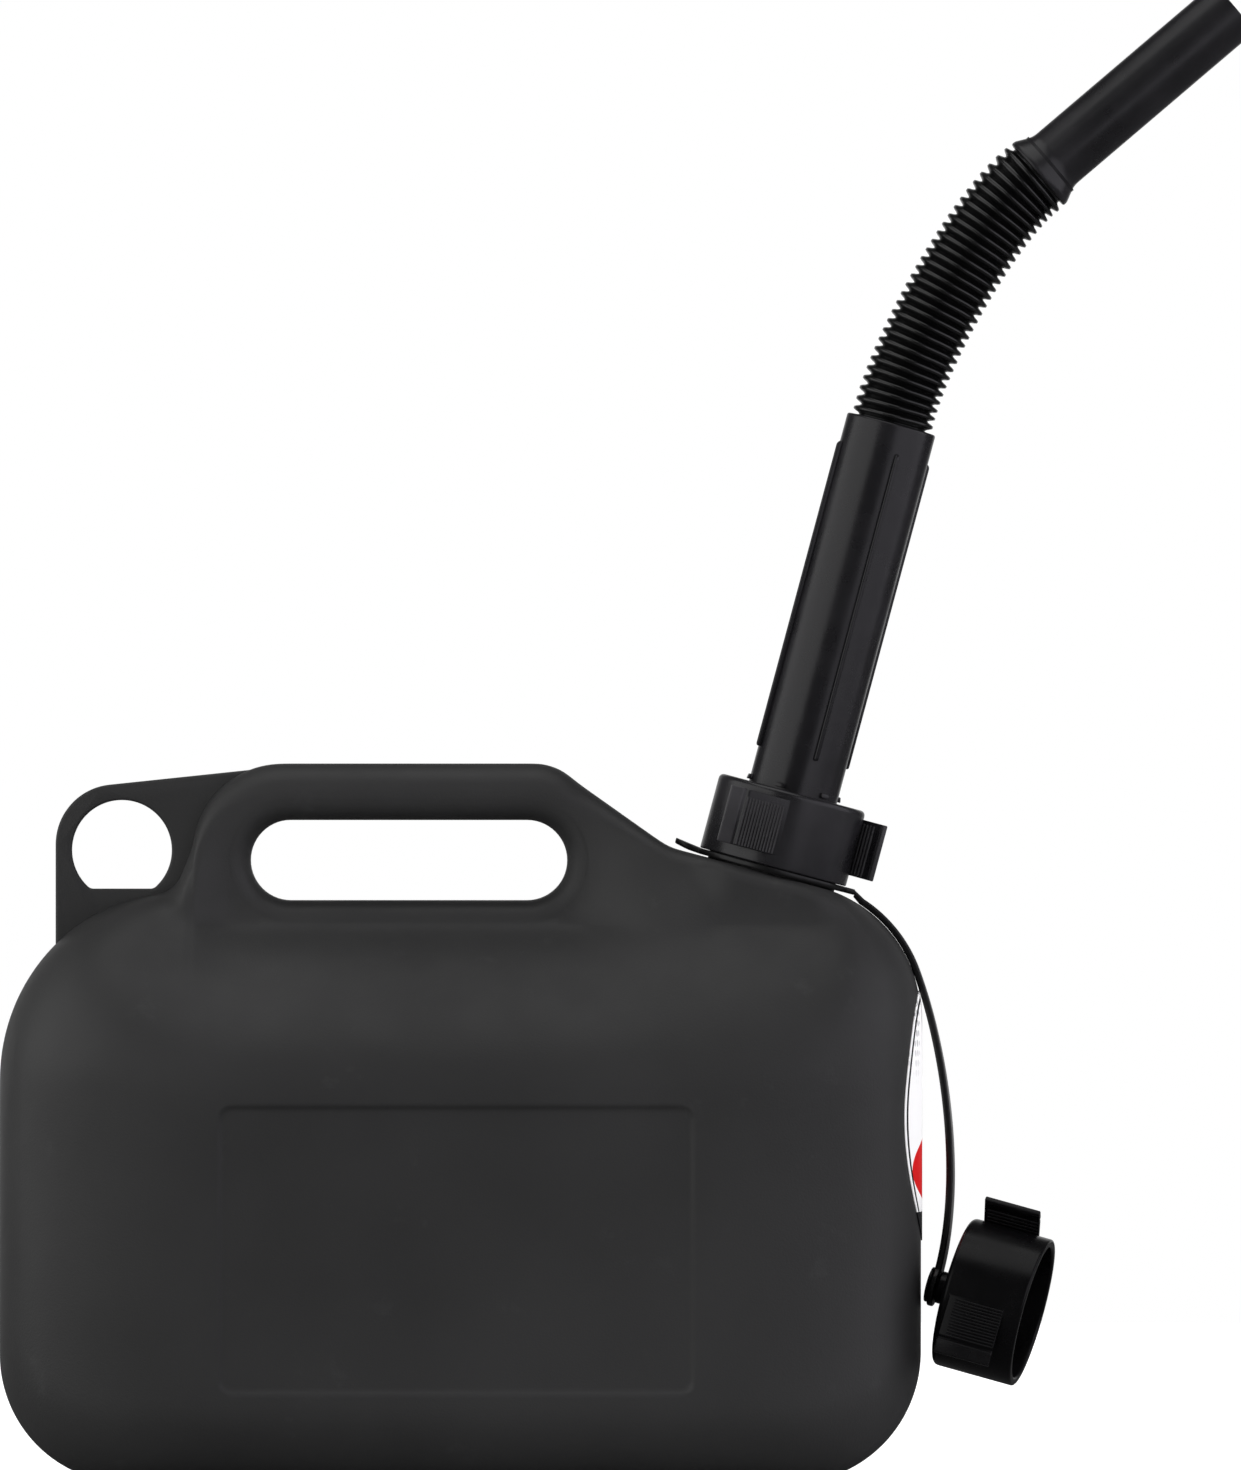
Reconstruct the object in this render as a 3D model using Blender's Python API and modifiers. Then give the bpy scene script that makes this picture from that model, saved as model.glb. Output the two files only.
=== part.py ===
"""Fuel can with a screw-on pouring spout and a tethered cap.

The can stands on z = 0 with its long side along X and its neck towards +X.
"""
from math import asin, cos, hypot, pi, radians, sin, sqrt

import bmesh
import bpy
from mathutils import Matrix, Vector

# Clearances shared by all pieces
seat_gap = 0.0003
loose_gap = 0.0006
overrun = 0.004
merge_limit = 0.00001

# Can body
can_length = 0.310
can_depth = 0.128
can_height = 0.2405
can_wall = 0.0020
flat_side_length = 0.160
plan_power = 2.55
base_corner_radius = 0.0435
base_edge_height = 0.026
base_flat_share = 0.62
end_face_share = 0.9987
crown_flat = 0.0020
side_wall_height = 0.132
end_dome_height = 0.030
rear_shoulder_height = 0.134
rear_shoulder_length = 0.060
rear_shoulder_rise = 0.063
front_shoulder_radius = 0.045
front_shoulder_height = 0.1552

# Handle, cut through the top of the can
handle_thickness = 0.028
handle_round = 0.0095
slot_length = 0.1065
slot_height = 0.027
slot_centre_x = -0.0173
slot_centre_z = 0.2080
slot_round = 0.008
rear_leg_width = 0.0195
rear_corner_radius = 0.0300
front_corner_x = 0.0280
front_slope_x = 0.0402
front_slope_drop = 0.0070
front_foot_x = 0.0660
front_foot_z = 0.2152

# Storage tab with its hanging hole
tab_thickness = 0.004
tab_reach = 0.1362
tab_corner_radius = 0.0202
tab_hole_radius = 0.0168
tab_hole_centre_z = 0.2114
tab_hole_rim = 0.0055
tab_hole_flat_drop = 0.0130
tab_top_drop = 0.0070
tab_root = 0.0060

# Shallow panel on each side
panel_length = 0.1575
panel_height = 0.095
panel_depth = 0.0010
panel_corner = 0.004
panel_centre_x = -0.0008
panel_centre_z = 0.0785

# Neck
neck_tilt = radians(15.0)
neck_base = Vector((0.1045, 0.0, 0.2031))
neck_radius = 0.0220
neck_wall = 0.0025
neck_length = 0.0214
neck_land_half = 0.0290
neck_land_round = 0.0050
neck_flank_start = 0.0780
neck_flank_end = 0.0900
neck_rear_half = 0.0210

# Web that fills the corner between the front leg and the shoulder
web_slope_share = 0.6

# Front label
label_width = 0.068
label_height = 0.084
label_centre_z = 0.122
label_thickness = 0.0003
label_sink = 0.012

# Spout collar and cap, which share their wings
collar_radius = 0.0254
collar_height = 0.0260
collar_web = 0.0024
collar_edge_round = 0.0020
collar_seat = 0.0027
wing_count = 3
wing_pitch = radians(120.0)
wing_sweep = radians(45.0)
first_wing_tip = radians(-126.3)
wing_tip_radius = 0.0344
wing_thickness = 0.0025
wing_height = 0.0193
wing_edge_drop = 0.0028
wing_lead = 0.012
wing_root_share = 0.4

# Seal under the spout's flange
gasket_thickness = 0.0020
gasket_inner_radius = 0.0160
flange_radius = 0.0218
flange_thickness = 0.0020

# Spout tube
tube_radius = 0.0153
tube_wall = 0.0020
tube_length = 0.1331
fin_count = 4
fin_height = 0.0015
fin_width = 0.0015
fin_angle = radians(-73.6)
fin_top_margin = 0.0105
fin_foot_margin = 0.0120
snap_count = 6
snap_angle = radians(-107.6)
snap_width = 0.0034
snap_length = 0.0018
snap_height = 0.0012

# Bellows hose and its bend
hose_crest_radius = 0.0138
hose_root_radius = 0.0115
hose_bore_radius = 0.0100
hose_pitch = 0.00323
hose_cuff_length = 0.0140
hose_lower_straight = 0.0140
hose_upper_straight = 0.0200
bend_angle = radians(34.6)
bend_rise = 0.0563
bend_setback = 0.0453

# Nozzle
nozzle_radius = 0.01075
nozzle_wall = 0.0015
nozzle_length = 0.0868
flare_radius = 0.0135
flare_length = 0.0070
socket_depth = 0.0060

# Tether
ring_seat = 0.0006
ring_thickness = 0.0016
ring_radius = 0.0260
ring_tab_reach = 0.0340
ring_tab_width = 0.0100
ring_stub_reach = 0.0285
strap_thickness = 0.0022
strap_width = 0.0080
strap_lift = 0.0020
strap_hug_start = radians(57.0)
strap_hug_end = radians(20.0)
strap_bow_top = 0.032
strap_bow_foot = 0.030
strap_edge_round = 0.0006
eye_thickness = 0.0020
eye_radius = 0.0070

# Hanging cap
cap_face = Vector((0.1660, 0.0, 0.0630))
cap_droop = radians(15.3)
cap_yaw = radians(10.0)
cap_radius = 0.0255
cap_height = 0.0280
cap_top = 0.0024
boss_radius = 0.0055
boss_length = 0.0052
stud_radius = 0.0040
head_radius = 0.0060
head_thickness = 0.0010
liner_thickness = 0.0015

# Shares and turns that shape the top outline
rear_dome_turn = radians(86.0)
rear_corner_turn = radians(176.0)
leg_foot_run_share = 0.35
leg_foot_rise_share = 0.25
front_corner_fall_share = 0.3

# Facets
corner_steps = 4
shoulder_steps = 7
web_steps = 3
end_steps = 9
land_steps = 5
cavity_steps = 14
round_steps = 48
tube_steps = 32
nozzle_steps = 36
label_steps = 40
route_steps = 60
bore_steps = 16
slot_flare_angle = radians(80.0)
slot_flare_share = 0.92
hose_bend_share = 0.55

# Sizes that follow from those above
half_length = can_length / 2
half_depth = can_depth / 2
slot_half_length = slot_length / 2
slot_radius = slot_height / 2
slot_rear_x = slot_centre_x - slot_half_length
slot_front_x = slot_centre_x + slot_half_length
slot_floor = slot_centre_z - slot_radius
ridge_half = handle_thickness / 2
ridge_base = slot_floor - slot_round
rear_leg_x = slot_rear_x - rear_leg_width
collar_top = collar_seat + collar_height
gasket_foot = neck_length + seat_gap
flange_foot = gasket_foot + gasket_thickness + seat_gap
flange_top = flange_foot + flange_thickness
tube_top = flange_foot + tube_length
bend_height = tube_top + bend_rise
thread_bore = neck_radius + loose_gap
stud_length = boss_length + eye_thickness + 2 * seat_gap + head_thickness
eye_foot = boss_length + seat_gap

# Ridge of the can from end to end: place, half width, top round, dome power.
# A power of one half is an ellipse, a larger one sweeps in to an upright ridge.
ellipse_power = 0.5
ridge_power = 1.0
side_power = 1.8
end_ridge_share = 0.5
ridge_rows = (
    (-half_length, ridge_half, ridge_half, ellipse_power),
    (rear_leg_x - rear_leg_width * 2, ridge_half, ridge_half, ellipse_power),
    (rear_leg_x, ridge_half, handle_round, ridge_power),
    (slot_front_x, ridge_half, handle_round, ridge_power),
    (neck_flank_start, neck_rear_half, neck_land_round, ridge_power),
    (neck_flank_end, neck_land_half, neck_land_round, ridge_power),
    (neck_base.x + neck_radius, neck_land_half, neck_land_round, ridge_power),
    (half_length, neck_land_half, neck_land_half, ellipse_power),
)


def clear_scene():
    for item in list(bpy.data.objects):
        bpy.data.objects.remove(item, do_unlink=True)


def new_collection(name):
    collection = bpy.data.collections.new(name)
    bpy.context.scene.collection.children.link(collection)
    return collection


clear_scene()
parts = new_collection("fuel_can")
cutters = new_collection("fuel_can_cutters")


def add_material(item, name, colour, roughness, metallic=0.0):
    material = bpy.data.materials.get(name)
    if material is None:
        material = bpy.data.materials.new(name)
        material.use_nodes = True
        shader = material.node_tree.nodes["Principled BSDF"]
        shader.inputs["Base Color"].default_value = (*colour, 1.0)
        shader.inputs["Roughness"].default_value = roughness
        shader.inputs["Metallic"].default_value = metallic
        material.diffuse_color = (*colour, 1.0)
    item.data.materials.append(material)


def link_mesh(name, mesh, cutter=False):
    item = bpy.data.objects.new(name, mesh)
    (cutters if cutter else parts).objects.link(item)
    if cutter:
        item.hide_render = True
        item.display_type = "WIRE"
    return item


def smooth(item, angle=radians(38.0)):
    item.data.shade_smooth()
    item.data.set_sharp_from_angle(angle=angle)


def mesh_from_bmesh(name, work, cutter=False):
    bmesh.ops.recalc_face_normals(work, faces=work.faces)
    mesh = bpy.data.meshes.new(name)
    work.to_mesh(mesh)
    work.free()
    return link_mesh(name, mesh, cutter)


def loft(name, rings, cutter=False):
    """Skin a row of rings that have equally many points, and close both ends."""
    work = bmesh.new()
    rows = [[work.verts.new(point) for point in ring] for ring in rings]
    for low, high in zip(rows, rows[1:]):
        for index in range(len(low)):
            following = (index + 1) % len(low)
            work.faces.new((low[index], low[following], high[following], high[index]))
    work.faces.new(rows[0])
    work.faces.new(rows[-1])
    return mesh_from_bmesh(name, work, cutter)


def turned(name, profile, steps, cutter=False):
    """Spin a profile about Z. It runs down the outer side; one off the axis is a closed loop."""
    closed = profile[0][0] > 0
    count = len(profile)
    edges = [(index, index + 1) for index in range(count - 1)]
    if closed:
        edges.append((count - 1, 0))
    mesh = bpy.data.meshes.new(name)
    mesh.from_pydata([(radius, 0.0, height) for radius, height in profile], edges, [])
    item = link_mesh(name, mesh, cutter)
    screw = item.modifiers.new("turn", "SCREW")
    screw.axis = "Z"
    screw.steps = steps
    screw.render_steps = steps
    screw.use_merge_vertices = True
    screw.merge_threshold = merge_limit
    screw.use_smooth_shade = True
    return item


def cylinder(name, radius, low, high, steps, cutter=False):
    work = bmesh.new()
    middle = Matrix.Translation((0.0, 0.0, (low + high) / 2))
    bmesh.ops.create_cone(work, cap_ends=True, segments=steps, radius1=radius, radius2=radius,
                          depth=high - low, matrix=middle)
    return mesh_from_bmesh(name, work, cutter)


def curve_to_mesh(item, cutter=False):
    """Replace a curve object by its mesh, with the caps welded on."""
    bpy.context.view_layer.update()
    graph = bpy.context.evaluated_depsgraph_get()
    mesh = bpy.data.meshes.new_from_object(item.evaluated_get(graph))
    work = bmesh.new()
    work.from_mesh(mesh)
    bmesh.ops.remove_doubles(work, verts=work.verts, dist=merge_limit)
    bmesh.ops.recalc_face_normals(work, faces=work.faces)
    work.to_mesh(mesh)
    work.free()
    name = item.name
    place = item.matrix_world.copy()
    bpy.data.objects.remove(item, do_unlink=True)
    solid = link_mesh(name, mesh, cutter)
    solid.matrix_world = place
    return solid


def plate(name, outlines, thickness, cutter=False):
    """A flat plate in the XY plane; an outline inside another one is a hole."""
    curve = bpy.data.curves.new(name, "CURVE")
    curve.dimensions = "2D"
    curve.fill_mode = "BOTH"
    curve.extrude = thickness / 2
    for outline in outlines:
        spline = curve.splines.new("POLY")
        spline.points.add(len(outline) - 1)
        for point, (x, y) in zip(spline.points, outline):
            point.co = (x, y, 0.0, 1.0)
        spline.use_cyclic_u = True
    item = bpy.data.objects.new(name, curve)
    parts.objects.link(item)
    return curve_to_mesh(item, cutter)


def tube_along(name, points, radii, resolution, cutter=False):
    """A tube on a poly line, with a radius at each point."""
    curve = bpy.data.curves.new(name, "CURVE")
    curve.dimensions = "3D"
    curve.bevel_mode = "ROUND"
    curve.bevel_depth = max(radii)
    curve.bevel_resolution = resolution
    curve.use_fill_caps = True
    curve.render_resolution_u = 0
    spline = curve.splines.new("POLY")
    spline.points.add(len(points) - 1)
    for point, place, radius in zip(spline.points, points, radii):
        point.co = (*place, 1.0)
        point.radius = radius / curve.bevel_depth
    item = bpy.data.objects.new(name, curve)
    parts.objects.link(item)
    return curve_to_mesh(item, cutter)


def arc(centre, radius, start, end, steps):
    """Points of an arc, both ends included."""
    angles = [start + (end - start) * step / steps for step in range(steps + 1)]
    return [(centre[0] + radius * cos(angle), centre[1] + radius * sin(angle)) for angle in angles]


def combine(target, other, operation):
    change = target.modifiers.new(other.name, "BOOLEAN")
    change.operation = operation
    change.solver = "EXACT"
    change.object = other


def cut(target, other):
    combine(target, other, "DIFFERENCE")


def join(target, other):
    combine(target, other, "UNION")


def attach(item, frame):
    item.parent = frame
    return item


def add_frame(name, matrix, parent=None):
    frame = bpy.data.objects.new(name, None)
    frame.empty_display_size = neck_radius
    parts.objects.link(frame)
    frame.parent = parent
    frame.matrix_local = matrix
    return frame


# Frames of the moving pieces
neck_matrix = Matrix.Translation(neck_base) @ Matrix.Rotation(neck_tilt, 4, "Y")
neck_frame = add_frame("neck_frame", neck_matrix)
bend_matrix = Matrix.Translation((0.0, 0.0, bend_height)) @ Matrix.Rotation(bend_angle, 4, "Y")
bend_frame = add_frame("bend_frame", bend_matrix, neck_frame)

cap_out = Vector((-cos(cap_droop) * cos(cap_yaw), sin(cap_yaw), sin(cap_droop) * cos(cap_yaw)))
cap_side = (Vector((0.0, 1.0, 0.0)) - cap_out * cap_out.y).normalized()
cap_up = cap_side.cross(cap_out)
cap_matrix = Matrix.Translation(cap_face) @ Matrix((cap_up, cap_side, cap_out)).transposed().to_4x4()
strap_root = neck_matrix @ Vector((ring_stub_reach + seat_gap, 0.0, ring_seat + ring_thickness))
strap_frame = add_frame("strap_frame", Matrix.Translation(strap_root))
cap_frame = add_frame("cap_frame", Matrix.Translation(-strap_root) @ cap_matrix, strap_frame)


def smooth_step(share):
    share = min(1.0, max(0.0, share))
    return share * share * (3 - 2 * share)


def land_height(x):
    """Height of the sloping land round the neck."""
    return neck_base.z - (x - neck_base.x) * sin(neck_tilt) / cos(neck_tilt)


def between(start, end, steps):
    """Evenly spread points of a straight stretch, without its start."""
    start, end = Vector(start), Vector(end)
    return [tuple(start.lerp(end, step / steps)) for step in range(1, steps + 1)]


def crest_outline():
    """Top outline of the can from rear to front, in side view, as (x, z)."""
    points = []
    dome_end_x = -half_length + rear_shoulder_length
    for step in range(end_steps + 1):
        angle = rear_dome_turn * step / end_steps
        x = dome_end_x - rear_shoulder_length * cos(angle)
        z = rear_shoulder_height + rear_shoulder_rise * sin(angle)
        points.append((x, z))
    corner_centre = (rear_leg_x + rear_corner_radius, can_height - rear_corner_radius)
    dome_top = rear_shoulder_height + rear_shoulder_rise
    leg_foot = corner_centre[1] - dome_top
    points.append((rear_leg_x - leg_foot * leg_foot_run_share,
                   dome_top + leg_foot * leg_foot_rise_share))
    points += arc(corner_centre, rear_corner_radius, rear_corner_turn, pi / 2, corner_steps * 2)
    points += between((corner_centre[0], can_height), (front_corner_x, can_height), corner_steps)
    slope_top = (front_slope_x, can_height - front_slope_drop)
    points.append(((front_corner_x + front_slope_x) / 2,
                   can_height - front_slope_drop * front_corner_fall_share))
    points.append(slope_top)
    points += between(slope_top, (front_foot_x, front_foot_z), corner_steps)
    land_edge = (neck_base.x - ring_tab_reach, land_height(neck_base.x - ring_tab_reach))
    points.append(land_edge)
    points += between(land_edge, (neck_base.x, neck_base.z), land_steps)
    shoulder_centre = (half_length - front_shoulder_radius, front_shoulder_height)
    shoulder_start = radians(90.0) - neck_tilt
    points += arc(shoulder_centre, front_shoulder_radius, shoulder_start, 0.0, end_steps)
    return points


outline = crest_outline()


def crest(x):
    """Height of the top outline at a place along the can."""
    for (low_x, low_z), (high_x, high_z) in zip(outline, outline[1:]):
        if x <= high_x:
            return low_z + (high_z - low_z) * max(0.0, x - low_x) / (high_x - low_x)
    return outline[-1][1]


def keel(x):
    """Height of the bottom outline: a flat base with a round corner at each end."""
    inward = base_corner_radius - min(base_corner_radius, half_length - abs(x))
    return base_corner_radius - sqrt(base_corner_radius ** 2 - inward ** 2)


def plan_half(x):
    """Half depth of the can in plan: flat sides that curve round into bulged ends."""
    end_length = half_length - flat_side_length / 2
    reach = max(0.0, abs(x) - flat_side_length / 2) / end_length
    reach = min(reach, end_face_share)
    return half_depth * (1 - reach ** plan_power) ** (1 / plan_power)


def ridge(x):
    """Half width, top round and dome power of the ridge at a place along the can."""
    for low, high in zip(ridge_rows, ridge_rows[1:]):
        if x <= high[0]:
            break
    blend = smooth_step((x - low[0]) / (high[0] - low[0]))
    half, top_round, power = [a + (b - a) * blend for a, b in zip(low[1:], high[1:])]
    half = min(half, plan_half(x) * end_ridge_share)
    return half, min(top_round, half - crown_flat / 2), power


def shoulder_range(x):
    """Heights where the side leaves the wall, meets the ridge, and where the ridge rounds over."""
    top = crest(x)
    half, top_round, power = ridge(x)
    high = top - top_round - seat_gap
    base = min(high - web_steps * seat_gap, ridge_base)
    return min(side_wall_height, top - end_dome_height), base, high


def web(x, z):
    """Extra half width of the web between the front leg and the neck."""
    low, base, high = shoulder_range(x)
    fill = smooth_step((x - slot_front_x) / (neck_flank_start - slot_front_x))
    fill -= smooth_step((x - neck_flank_start) / (neck_flank_end - neck_flank_start))
    fade = min(1.0, (z - low) / (base - low)) ** 2
    return web_slope_share * fill * fade * max(0.0, high - z)


def half_width(x, z):
    """Half width of the can's section at a place along it and a height."""
    side = plan_half(x)
    bottom = keel(x)
    half, top_round, power = ridge(x)
    low, base, high = shoulder_range(x)
    if z < bottom + base_edge_height:
        level = min(1.0, max(0.0, (bottom + base_edge_height - z) / base_edge_height))
        flat = side * base_flat_share
        return flat + (side - flat) * sqrt(1 - level ** 2)
    if z <= low:
        return side
    if z < high:
        rise = min(1.0, (z - low) / (base - low))
        dome = (side - half) * (1 - rise ** side_power) ** power
        return half + hypot(dome, web(x, z))
    top = crest(x)
    if z <= top - top_round:
        return half
    level = min(1.0, (z - top + top_round) / top_round)
    return half - top_round + top_round * sqrt(1 - level ** 2)


def section_heights(x):
    """Heights at which a section of the can is drawn, from the base to the crest."""
    bottom = keel(x)
    low, base, high = shoulder_range(x)
    top = crest(x)
    half, top_round, power = ridge(x)
    quarter = pi / 2
    heights = [bottom + base_edge_height * (1 - cos(quarter * step / corner_steps))
               for step in range(corner_steps + 1)]
    heights += [low + (base - low) * sin(quarter * step / shoulder_steps) ** (2 / side_power)
                for step in range(shoulder_steps + 1)]
    heights += [base + (high - base) * step / web_steps for step in range(1, web_steps + 1)]
    heights += [top - top_round + top_round * sin(quarter * step / corner_steps)
                for step in range(corner_steps + 1)]
    return heights


def mirrored_ring(x, side):
    """A closed ring across the can from its half section, given from the base up."""
    ring = [Vector((x, y, z)) for y, z in side]
    ring += [Vector((x, -y, z)) for y, z in reversed(side)]
    return ring


def can_ring(x):
    return mirrored_ring(x, [(half_width(x, z), z) for z in section_heights(x)])


def cavity_ring(x):
    """A ring of the hollow, one wall inside the can's own section and below its ridge."""
    bottom = keel(x) + can_wall
    low, base, high = shoulder_range(x)
    top = base - 2 * can_wall
    side = []
    for step in range(cavity_steps + 1):
        z = bottom + (top - bottom) * (1 - cos(pi * step / cavity_steps)) / 2
        half = min(half_width(x, z - can_wall), half_width(x, z + 2 * can_wall)) - can_wall
        side.append((max(half, crown_flat / 2), z))
    inward = (half_length - can_wall) / half_length
    return mirrored_ring(x * inward, side)


def stadium(centre_x, centre_z, half_run, radius, y):
    """A slot outline with round ends in the plane at y."""
    run = half_run - slot_radius
    points = arc((centre_x + run, centre_z), radius, -pi / 2, pi / 2, corner_steps * 2)
    points += arc((centre_x - run, centre_z), radius, pi / 2, pi * 3 / 2, corner_steps * 2)
    return [Vector((x, y, z)) for x, z in points]


def slot_cutter():
    """The finger slot, flared to both sides so that its rims come out round."""
    levels = [(ridge_half + overrun, slot_round * slot_flare_share)]
    for step in range(corner_steps, -1, -1):
        angle = slot_flare_angle * step / corner_steps
        out = ridge_half - slot_round + slot_round * sin(angle)
        levels.append((out, slot_round * (1 - cos(angle))))
    levels += [(-out, spread) for out, spread in reversed(levels)]
    rings = [stadium(slot_centre_x, slot_centre_z, slot_half_length, slot_radius + spread, out)
             for out, spread in levels]
    return loft("slot_cutter", rings, cutter=True)


def tab_solid():
    """Flat storage tab behind the handle, with a D-shaped hole."""
    corner = (-tab_reach + tab_corner_radius, can_height - tab_top_drop - tab_corner_radius)
    top_end = (rear_leg_x + rear_corner_radius, can_height - crown_flat / 2)
    run = top_end[0] - corner[0]
    rise = top_end[1] - corner[1] - tab_corner_radius
    slope = asin(rise / run)
    leg_middle = (rear_leg_x + tab_root, can_height - rear_corner_radius)
    rim = arc(corner, tab_corner_radius, pi, pi / 2 + slope, corner_steps * 2)
    outer = [(-tab_reach, side_wall_height + end_dome_height)] + rim
    outer += [top_end, leg_middle, (leg_middle[0], ridge_base)]
    outer.append((rear_leg_x - tab_corner_radius, side_wall_height + end_dome_height))
    hole_centre = (-tab_reach + tab_hole_rim + tab_hole_radius, tab_hole_centre_z)
    flat = asin(tab_hole_flat_drop / tab_hole_radius)
    hole = arc(hole_centre, tab_hole_radius, -flat, pi + flat, corner_steps * 7)
    tab = plate("tab_solid", [outer, hole], tab_thickness, cutter=True)
    tab.rotation_euler = (pi / 2, 0.0, 0.0)
    return tab


def panel_cutter(side):
    """Rounded plate that sinks the shallow panel into one flat side."""
    half_x = panel_length / 2 - panel_corner
    half_z = panel_height / 2 - panel_corner
    points = []
    for quarter, (x, z) in enumerate(((half_x, half_z), (-half_x, half_z),
                                      (-half_x, -half_z), (half_x, -half_z))):
        start = quarter * pi / 2
        points += arc((x, z), panel_corner, start, start + pi / 2, corner_steps)
    name = "panel_cutter_" + ("far" if side > 0 else "near")
    panel = plate(name, [points], panel_depth + overrun, cutter=True)
    panel.rotation_euler = (pi / 2, 0.0, 0.0)
    middle = half_depth - panel_depth + (panel_depth + overrun) / 2
    panel.location = (panel_centre_x, side * middle, panel_centre_z)
    return panel


def build_can():
    can = loft("can_body", [can_ring(x) for x, z in outline])
    add_material(can, "black_hdpe", (0.033, 0.033, 0.033), 0.55)
    join(can, tab_solid())
    neck_sink = neck_length / 3
    neck = cylinder("neck_solid", neck_radius, -neck_sink, neck_length, round_steps, cutter=True)
    join(can, attach(neck, neck_frame))
    cut(can, slot_cutter())
    cut(can, panel_cutter(1))
    cut(can, panel_cutter(-1))
    hollow_places = [outline[0][0]] + [x for x, z in outline[1:-1:2]] + [outline[-1][0]]
    cut(can, loft("cavity_cutter", [cavity_ring(x) for x in hollow_places], cutter=True))
    low, base, high = shoulder_range(neck_base.x)
    bore_drop = (neck_base.z - base + 2 * can_wall) / cos(neck_tilt) + neck_radius * sin(neck_tilt)
    bore = cylinder("neck_bore_cutter", neck_radius - neck_wall, -bore_drop - overrun,
                    neck_length + overrun, round_steps, cutter=True)
    cut(can, attach(bore, neck_frame))
    smooth(can)
    return can


def swollen_can(can, name, growth):
    """A copy of the plain can outside, grown evenly, as a cutter for what lies on the can."""
    copy = link_mesh(name, can.data.copy(), cutter=True)
    swell = copy.modifiers.new("grow", "DISPLACE")
    swell.strength = growth
    swell.mid_level = 0.0
    return copy


def build_front_label(can):
    """Tall oval sticker that follows the curved front end wall."""
    turns = [2 * pi * step / label_steps for step in range(label_steps)]
    oval = [(label_width / 2 * cos(turn), label_height / 2 * sin(turn)) for turn in turns]
    label = plate("front_label", [oval], label_sink + overrun)
    label.rotation_euler = (pi / 2, 0.0, pi / 2)
    label.location = (half_length + (overrun - label_sink) / 2, 0.0, label_centre_z)
    outside = swollen_can(can, "label_face_cutter", seat_gap + label_thickness)
    combine(label, outside, "INTERSECT")
    cut(label, swollen_can(can, "label_back_cutter", seat_gap))
    add_material(label, "printed_label", (0.86, 0.86, 0.85), 0.35)
    smooth(label)
    return label


def bezier(points, share):
    """Point on a Bezier curve of any order."""
    row = [Vector(point) for point in points]
    while len(row) > 1:
        row = [low.lerp(high, share) for low, high in zip(row, row[1:])]
    return row[0]


def wing_outline(tip_angle):
    """Outline of one grip wing, which leaves the wall at a tangent and ends in a free tip."""
    root_angle = tip_angle + wing_sweep
    root_radius = collar_radius - seat_gap
    root = Vector((cos(root_angle), sin(root_angle))) * root_radius
    tip = Vector((cos(tip_angle), sin(tip_angle))) * wing_tip_radius
    leave = Vector((sin(root_angle), -cos(root_angle)))
    controls = (root, root + leave * wing_lead, tip)
    steps = corner_steps * 2
    outer = [bezier(controls, step / steps) for step in range(steps + 1)]
    inner = []
    for step, point in enumerate(outer):
        share = step / steps
        near = outer[max(0, step - 1)]
        ahead = outer[min(steps, step + 1)]
        along = (ahead - near).normalized()
        thickness = wing_thickness * (wing_root_share + (1 - wing_root_share) * share)
        inner.append(point + Vector((along.y, -along.x)) * thickness)
    return [tuple(point) for point in outer + inner[::-1]]


def add_wings(target, frame, top):
    outlines = [wing_outline(first_wing_tip + index * wing_pitch) for index in range(wing_count)]
    wings = plate(target.name + "_wings", outlines, wing_height, cutter=True)
    wings.location.z = top - wing_edge_drop - wing_height / 2
    join(target, attach(wings, frame))


def build_spout_collar():
    hole = tube_radius + loose_gap
    edge = collar_top - collar_edge_round
    profile = [(hole, collar_top)]
    rim = arc((collar_radius - collar_edge_round, edge), collar_edge_round, pi / 2, 0.0, corner_steps)
    profile += rim
    profile += [(collar_radius, collar_seat), (thread_bore, collar_seat)]
    profile += [(thread_bore, collar_top - collar_web), (hole, collar_top - collar_web)]
    collar = attach(turned("spout_collar", profile, round_steps), neck_frame)
    add_material(collar, "black_cap_plastic", (0.010, 0.010, 0.011), 0.33)
    add_wings(collar, neck_frame, collar_top)
    return collar


def build_gasket():
    top = gasket_foot + gasket_thickness
    profile = [(flange_radius, top), (flange_radius, gasket_foot),
               (gasket_inner_radius, gasket_foot), (gasket_inner_radius, top)]
    gasket = attach(turned("spout_gasket", profile, tube_steps), neck_frame)
    add_material(gasket, "seal_rubber", (0.03, 0.03, 0.03), 0.7)
    return gasket


def box(work, size, centre, turn):
    """A box out along X by its centre, turned about Z."""
    place = Matrix.Rotation(turn, 4, "Z") @ Matrix.Translation(centre)
    bmesh.ops.create_cube(work, size=1.0, matrix=place @ Matrix.Diagonal((*size, 1.0)))


def tube_details():
    """The long fins of the spout tube and the snap bumps that hold the collar on it."""
    work = bmesh.new()
    sink = tube_wall / 2
    fin_low = collar_top + fin_foot_margin
    fin_high = tube_top - fin_top_margin
    for index in range(fin_count):
        size = (sink + fin_height, fin_width, fin_high - fin_low)
        centre = (tube_radius + (fin_height - sink) / 2, 0.0, (fin_low + fin_high) / 2)
        box(work, size, centre, fin_angle + 2 * pi * index / fin_count)
    for index in range(snap_count):
        size = (sink + snap_height, snap_width, snap_length)
        low = collar_top + loose_gap
        centre = (tube_radius + (snap_height - sink) / 2, 0.0, low + snap_length / 2)
        box(work, size, centre, snap_angle + 2 * pi * index / snap_count)
    return attach(mesh_from_bmesh("tube_details", work, cutter=True), neck_frame)


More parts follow.
